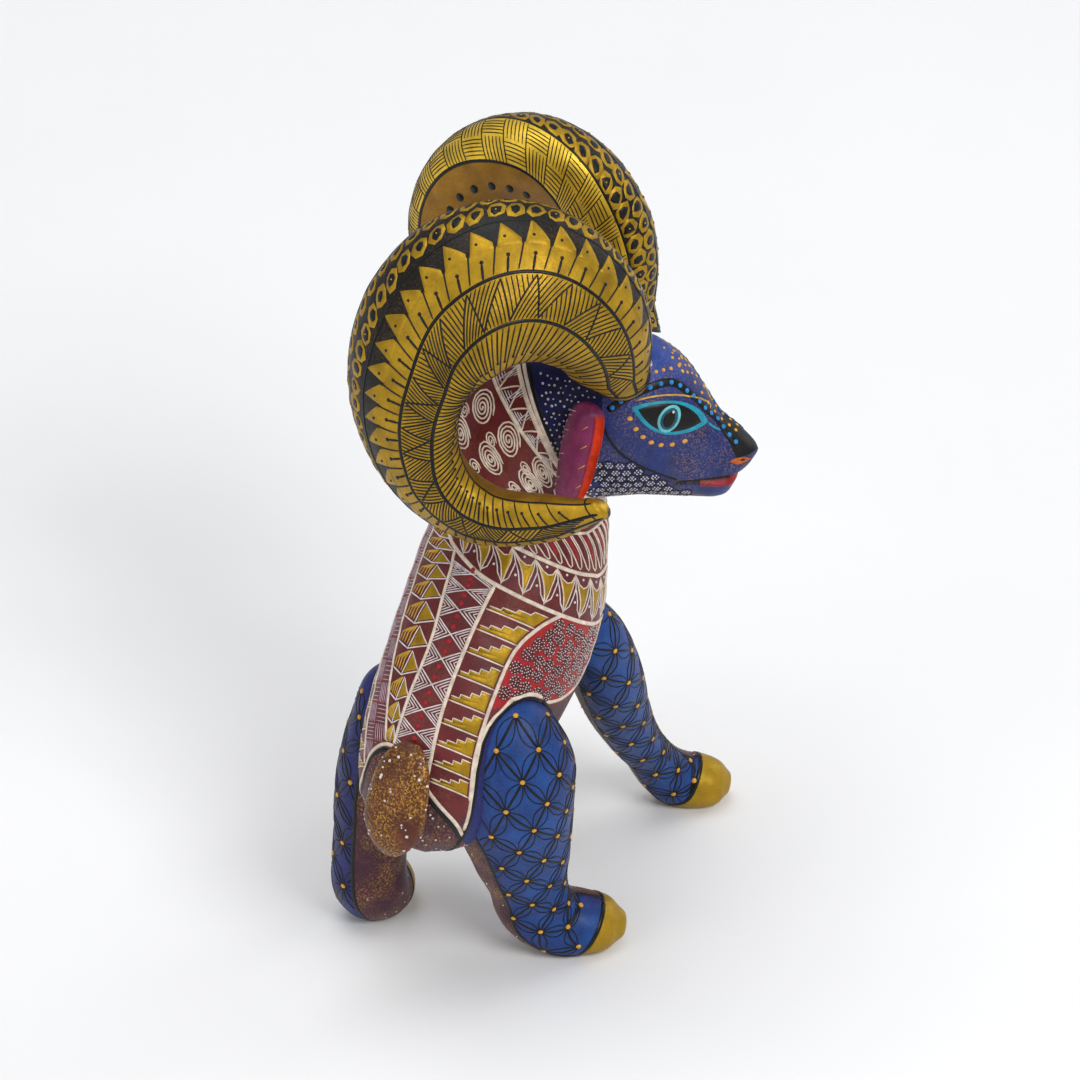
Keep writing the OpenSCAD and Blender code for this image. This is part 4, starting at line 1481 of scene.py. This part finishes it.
def head_side(side):
    name = "head"
    black, amber, cyan = (name, "black"), (name, "amber"), (name, "cyan")
    # Band from under the horn, over the eye and down the muzzle, with its dots
    forward, up = path([(21, 158.6), (25.5, 161.6), (31, 163.4), (36.5, 163.2), (41, 158.9), (45.5, 152.6),
                        (50, 147.0), (53.5, 143.2)], 8)
    ink.stroke(black, side, forward, up, 2.6, 0.12)
    long = np.concatenate([[0], np.cumsum(np.hypot(np.diff(forward), np.diff(up)))])
    count = 17
    for k in range(count):
        s = long[-1] * (k + 0.5) / count
        ink.dot(cyan, side, np.interp(s, long, forward), np.interp(s, long, up), 0.78, height=0.32, sides=12)
    # Eye
    ink.patch((name, "turquoise"), side, almond(EYE, 10.6, 4.4, 4.1, EYE_TILT), 0.1, 4)
    ink.patch(black, side, almond((EYE[0], EYE[1] + 0.1), 8.9, 3.7, 3.4, EYE_TILT), 0.16, 4)
    iris = (("pale", 2.9, 3.6, 0.22), ("teal", 2.2, 2.9, 0.28), ("black", 1.5, 2.25, 0.34))
    for colour, long, tall, height in iris:
        ink.patch((name, colour), side, oval(EYE, long, tall, -0.2), height, 3)
    # A white dot at the pupil's upper right: a painted highlight
    ink.dot((name, "white"), side, EYE[0] + 0.9, EYE[1] + 1.6, 0.5, height=0.5)
    lid = almond(EYE, 12.2, 5.5, 4.3, EYE_TILT)[1:11]
    ink.stroke((name, "gold"), side, [p[0] for p in lid], [p[1] for p in lid], 0.6)
    tail_u, tail_v = path([(45.6, 150.4), (47.2, 148.6), (48.6, 147.6)], 5)
    ink.stroke((name, "turquoise"), side, tail_u, tail_v, 0.7)
    # Dots under the eye and over the band
    below = almond(EYE, 12.0, 4.0, 7.0, EYE_TILT, 10)[11:18]
    for u, v in below:
        ink.dot(amber, side, u, v, 0.85, 0.7, jitter(0.5), sides=12)
    for k in range(7):
        ink.dot(amber, side, 28.8 + 1.75 * k, 166.0 + 0.5 * math.sin(k * 0.55) - 0.06 * k * k * 0.6, 0.6)
    # Cheek line down to the corner of the mouth
    u, v = path([(19.8, 155.0), (22, 150), (25, 145.8), (29.6, 141.7), (34, 138.4), (38.4, 135.4)], 6)
    ink.stroke(black, side, u, v, 0.85)
    # Cells with white dots below the cheek line
    for row in range(7):
        for col in range(9):
            f = 18.6 + 2.9 * col + 1.45 * (row % 2) + jitter(0.2)
            z = 127.2 + 2.5 * row + jitter(0.2)
            if z > np.interp(f, u, v) - 1.5 or f < 17.8 or f > 41.5 or (f > 35.5 and z > 132.2):
                continue
            ring = [(a + jitter(0.2), b + jitter(0.2))
                    for a, b in oval((f, z), 1.65, 1.5, 0.5, 6)]
            ring.append(ring[0])
            ink.stroke(black, side, [p[0] for p in ring], [p[1] for p in ring], 0.4)
            for k in range(6):
                a = k * 1.047 + jitter(0.2)
                ink.dot((name, "white"), side, f + 0.85 * math.cos(a), z + 0.78 * math.sin(a), 0.26, sides=7)
            ink.dot((name, "white"), side, f, z, 0.26, sides=7)
    # Nostril
    ink.patch((name, "rust"), side, almond((53.9, 139.4), 2.7, 0.95, 0.95, -0.1, 8), 0.12, 3)
    ink.dot(black, side, 54.6, 139.6, 0.9, 0.4)
    # White dots on the navy behind the ear, in black cells
    for row in range(24):
        for col in range(13):
            f = -1.0 + 1.6 * col + 0.8 * (row % 2) + jitter(0.4)
            z = 128 + 1.6 * row + jitter(0.4)
            if f < 3.2 + 0.42 * (150 - z) * (z < 150) - 0.2 * (z - 150) * (z > 150) + 2.4 or f > 18.0:
                continue
            ink.dot((name, "white"), side, f, z, RAND.choice((0.26, 0.34, 0.42)), height=0.26, sides=8)
    for k in range(7):
        z = 131 + 5 * k
        f = 3.2 + 0.42 * max(0, 150 - z) - 0.2 * max(0, z - 150) + 3.0
        ring = [(f + 0.1 + 2.6 * j + jitter(0.3), z + 1.3 * math.sin(1.9 * j + k))
                for j in range(5)]
        ink.stroke(black, side, *path([r for r in ring if r[0] < 18], 4), 0.4)


def head_top(skin):
    name = "head"
    for k in range(10):
        x = 4.3 + 0.42 * k
        for a in (7, -7):
            ink.dot((name, "amber"), skin, x, a * (1 + 0.06 * k), 0.55)
    for k in range(5):
        ink.dot((name, "amber"), skin, 3.9 + 0.36 * k, 0, 0.42)
    # A pale strip with small marks on the crown between the horns
    ink.patch((name, "lilac"), skin, [(0.5, -7), (2.9, -8), (2.9, 8), (0.5, 7)], 0.08, 3)
    for k in range(9):
        x = 0.65 + 0.26 * k
        ink.stroke((name, "red"), skin, [x, x + 0.12, x], [-6, 0, 6], 0.4, 0.16)
    v = np.linspace(0, 360, 91)
    ink.stroke((name, "cream"), skin, np.full(91, 0.12), v, 1.2, 0.16)
    ink.stroke((name, "black"), skin, np.full(91, 0.27), v, 1.2, 0.14)


# ---- Ears and tail ----
def ear_strokes(piece, skin):
    for k in range(13):
        x = 0.9 + 0.36 * k
        ink.stroke((piece, "lilac"), skin, [x, x + 0.3], [30 + 12 * (k % 3), 78 + 8 * (k % 2)], 0.28)
    for k in range(4):
        x = 1.5 + 0.9 * k
        ink.stroke((piece, "gold"), skin, [x, x + 0.2], [330 - 8 * k, 345 - 6 * k], 0.4)
    for angle in (232, 308):
        ink.stroke((piece, "red"), skin, np.linspace(0.9, 5.2, 40), np.full(40, angle), 0.8)


def tail_dots(skin):
    for _ in range(34):
        u, v = RAND.uniform(0.8, 5.3), jitter(95)
        ink.dot(("tail", "white"), skin, u, v, RAND.choice((0.25, 0.35, 0.5)), sides=9)


# ---- Build the carved skins ----
BODY_OF = {node: body for body, nodes in frame["record"]["behaviour"]["bodies"].items() for node in nodes}
skin_paint = painted("brushed_paint")
ear_paint = painted("ear_paint", MAGENTA, (0.1, 0.12, 1.0))
ember_paint = painted("ear_inside", EMBER, (0.0, 0.05, 1.0))
tail_paint = painted("tail_paint", linear(88, 44, 30), (0.15, 1.5, 1.0))
dowel_wood = bare_wood("dowel_wood")


def bar(name, middle, along, r0, r1, back, front, sides=48):
    """A round bar, to cut a bore or socket with."""
    along = unit(along)
    across = unit(np.cross(along, UP if abs(along[2]) < 0.9 else np.array([1.0, 0, 0])))
    other = np.cross(along, across)
    t = np.arange(sides) * 2 * math.pi / sides
    ring = np.outer(np.cos(t), across) + np.outer(np.sin(t), other)
    points = np.concatenate([middle - along * back + ring * r0, middle + along * front + ring * r1])
    faces = [(i, (i + 1) % sides, sides + (i + 1) % sides, sides + i) for i in range(sides)]
    faces += [tuple(range(sides))[::-1], tuple(range(sides, 2 * sides))]
    obj = make_object(name, points, faces)
    for poly in obj.data.polygons:
        poly.use_smooth = False
    obj.data.materials.append(dowel_wood)
    return obj


def bore(name, root, pull, r, back, front):
    return bar(name, root, pull, r, r, back, front)


def seat(name, root, pull, sizes):
    return bar(name, root, pull, sizes[0], sizes[1], 0, sizes[2])


def cut(obj, *cutters):
    """Takes the cutters away from the object, and drops them."""
    for cutter in cutters:
        mod = obj.modifiers.new("cut", "BOOLEAN")
        mod.operation = "DIFFERENCE"
        mod.solver = "EXACT"
        mod.material_mode = "TRANSFER"
        mod.object = cutter
    bpy.context.view_layer.update()
    shape = bpy.data.meshes.new_from_object(obj.evaluated_get(bpy.context.evaluated_depsgraph_get()))
    obj.modifiers.clear()
    obj.data = shape
    for cutter in cutters:
        bpy.data.objects.remove(cutter)


def finish_piece(obj, node, material):
    if not obj.data.materials:
        obj.data.materials.append(material)
    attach(obj, BODY_OF[node])
    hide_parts(node)


def side_place(v, way):
    p = place(0.0, v)
    return p if way > 0 else np.array([2 * AXIS[0] - p[0], p[1], p[2]])


def side_direction(v, way):
    d = direction(0.0, unit(v))
    return d * np.array([way, 1, 1]) if way < 0 else d


torso_skin = Skin(body_point, 0, 12, 330, 288, carve=0.14)
probe = torso_skin.mesh("probe")
torso_tree = BVHTree.FromPolygons([tuple(Vector(v.co) / MM) for v in probe.data.vertices],
                                  [tuple(f.vertices) for f in probe.data.polygons])
bpy.data.objects.remove(probe)
LEGS = [Leg("right_front_leg", True, 8.6, 100, 50), Leg("left_front_leg", False, 8.6, 100, 60),
        Leg("right_hind_leg", True, 9.4, 100, 36), Leg("left_hind_leg", False, 9.1, 62, 150)]
REACH = {"right_front_leg": 1.5, "left_front_leg": 1.5, "right_hind_leg": 7.0, "left_hind_leg": 3.0}
laps = {leg.name: Lap(leg, torso_skin, torso_tree, REACH[leg.name]) for leg in LEGS}


def lapped(x, angle):
    return any(lap.near(x, angle) for lap in laps.values())


torso = torso_skin.mesh("torso_carving", torso_tint)
torso.data.materials.append(skin_paint)
tail_root = place(BODY_TURN, TAIL_ROOT)
tail_out = direction(BODY_TURN, unit(TAIL_PULL))
cut(torso, seat("tail_seat", tail_root, tail_out, TAIL_SEAT),
    bore("tail_bore", tail_root, tail_out, TAIL_BORE[0], 8.3, 0.5))


def in_torso(skin, u, v):
    p, _ = skin.look([u], [v])
    near, normal, _, _ = torso_tree.find_nearest(Vector(p[0]))
    return (Vector(p[0]) - near).dot(normal) < -0.4


finish_piece(torso, "torso", skin_paint)
torso_bands(torso_skin)

for leg in LEGS:
    obj = leg.skin.mesh(leg.name + "_carving", leg.tint)
    finish_piece(obj, leg.name, skin_paint)
    leg.draw(in_torso)
    laps[leg.name].draw()

head_skin = Skin(head_point, 0, 11, 300, 300, carve=0.08)
groove(head_skin)
head = head_skin.mesh("head_carving", head_tint)
head.data.materials.append(skin_paint)
head_tree = BVHTree.FromPolygons([tuple(Vector(v.co) / MM) for v in head.data.vertices],
                                 [tuple(f.vertices) for f in head.data.polygons])
for way in (1, -1):
    root, pull = side_place(HORN_ROOT, way), side_direction(HORN_PULL, way)
    ear_root, ear_pull = side_place(EAR_ROOT, way), side_direction(EAR_PULL, way)
    cut(head, seat("horn_seat", root - HORN_SEAT_UNDER * pull, pull, HORN_SEAT),
        bore("horn_bore", root, pull, HORN_BORE[0], 9.3, 0.5),
        seat("ear_seat", ear_root, ear_pull, EAR_SEAT),
        bore("ear_bore", ear_root, ear_pull, EAR_BORE[0], 6.3, 0.5))
    head_side(Side(head_tree, way))
finish_piece(head, "head", skin_paint)
head_top(head_skin)

for prefix, way, curl in (("right", 1, RIGHT_CURL), ("left", -1, LEFT_CURL)):
    def turned(point):
        return point if way > 0 else mirrored(point)

    root, pull = side_place(HORN_ROOT, way), side_direction(HORN_PULL, way)
    piece = prefix + "_horn"
    twist = turning(RIGHT_TWIST if way > 0 else LEFT_TWIST)
    skin = Skin(turned(horn_point(curl)), -ROOT_PART, 1 + TIP_ROUND, 420, 216, carve=0.12)
    horn = skin.mesh(piece + "_carving", lambda t, angle, points: horn_tint(t, angle, points, twist))
    horn.data.materials.append(skin_paint)
    cut(horn, bore("bore", root, pull, HORN_BORE[1], 1, 8.3))
    finish_piece(horn, piece, skin_paint)
    horn_bands(piece, Twisted(skin, twist))

    piece = prefix + "_ear"
    ear_root, ear_pull = side_place(EAR_ROOT, way), side_direction(EAR_PULL, way)
    skin = Skin(turned(ear_point(0, 0, 1)), 0, 6, 90, 96, carve=0.04)
    ear = skin.mesh(piece + "_carving")
    ear.data.materials.append(ear_paint)
    hollow = Skin(turned(ear_point(0.75, 0.15, 0.4)), 1, 5, 60, 60).mesh("hollow")
    hollow.data.materials.append(ember_paint)
    cut(ear, hollow, bore("bore", ear_root, ear_pull, EAR_BORE[1], 1, 3.05))
    stem = bar(piece + "_stem", ear_root, ear_pull, EAR_STEM_R, EAR_STEM_R, 0, 2.75)
    stem.data.materials[0] = ear_paint
    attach(stem, BODY_OF[piece])
    finish_piece(ear, piece, ear_paint)
    ear_strokes(piece, skin)

tail_skin = Skin(tail_point, 0, 6, 110, 120, carve=0.08)
tail = tail_skin.mesh("tail_carving")
tail.data.materials.append(tail_paint)
flat = bar("flat", tail_root, tail_out, 40, 40, 60, 0)
flat.data.materials[0] = tail_paint
cut(tail, flat, bore("bore", tail_root, tail_out, TAIL_BORE[1], 1, 4.8))
finish_piece(tail, "tail", tail_paint)
tail_dots(tail_skin)

ink.build(BODY_OF, LINES)

for name, node in frame["nodes"].items():
    if "dowel" in name or "peg" in name:
        node.data.materials.clear()
        node.data.materials.append(dowel_wood)

# ---- Floor, light and camera ----
ROOM = 3.0


def ground():
    """A pale floor that curves up into a backdrop all round."""
    rows = [(ROOM, 0.0), (ROOM * 1.2, 0.06), (ROOM * 1.4, 0.35), (ROOM * 1.5, 1.0), (ROOM * 1.5, 4.0)]
    sides = 72
    points, faces = [(0, 0, 0)], []
    for r, z in rows:
        for k in range(sides):
            turn = 2 * math.pi * k / sides
            points.append((r * math.cos(turn) / MM, r * math.sin(turn) / MM, z / MM))
    for k in range(sides):
        faces.append((0, 1 + k, 1 + (k + 1) % sides))
        for row in range(len(rows) - 1):
            a = 1 + row * sides
            faces.append((a + k, a + sides + k, a + sides + (k + 1) % sides, a + (k + 1) % sides))
    obj = make_object("floor", points, faces)
    n = Nodes("pale_floor")
    n.link(n.mix(n.noise(8, 3), (0.86, 0.86, 0.86), (0.9, 0.9, 0.9)), n.shader.inputs["Base Color"])
    n.shader.inputs["Roughness"].default_value = 0.7
    obj.data.materials.append(n.material)


def soft_light(name, where, at, size, power):
    data = bpy.data.lights.new(name, "AREA")
    data.shape = "DISK"
    data.size = size
    data.energy = power
    obj = bpy.data.objects.new(name, data)
    obj.location = where
    obj.rotation_euler = (Vector(at) - Vector(where)).to_track_quat("-Z", "Y").to_euler()
    bpy.context.scene.collection.objects.link(obj)


CAMERA_ELEVATION = 35.0
CAMERA_DISTANCE = 2.5
PICTURE_WIDTH = 0.2808
SENSOR = 36.0


def camera():
    data = bpy.data.cameras.new("camera")
    data.sensor_width = SENSOR
    data.lens = SENSOR * CAMERA_DISTANCE / PICTURE_WIDTH
    data.clip_end = 20
    obj = bpy.data.objects.new("camera", data)
    target = (AXIS + np.array([0, 0, 105.6]) + 1.3 * heading(FEET_TURN)) * MM
    lift = math.radians(CAMERA_ELEVATION)
    back = rightward(FEET_TURN) * math.cos(lift) + UP * math.sin(lift)
    obj.location = target + back * CAMERA_DISTANCE
    obj.rotation_euler = Vector(-back).to_track_quat("-Z", "Y").to_euler()
    bpy.context.scene.collection.objects.link(obj)
    bpy.context.scene.camera = obj


ground()
middle = (0.0, 0.0, 0.11)
soft_light("key", (-1.1, -1.0, 1.5), middle, 0.9, 20)
soft_light("fill", (-1.3, 1.2, 0.9), middle, 1.2, 6)
soft_light("front", (1.2, -1.4, 1.0), middle, 1.2, 8)
soft_light("top", (0.2, 0.3, 2.0), middle, 1.6, 16)
world = bpy.data.worlds.new("studio")
bpy.context.scene.world = world
world.use_nodes = True
world.node_tree.nodes["Background"].inputs["Color"].default_value = (0.93, 0.95, 1.0, 1)
world.node_tree.nodes["Background"].inputs["Strength"].default_value = 0.4
camera()
bpy.context.scene.view_settings.view_transform = "Standard"
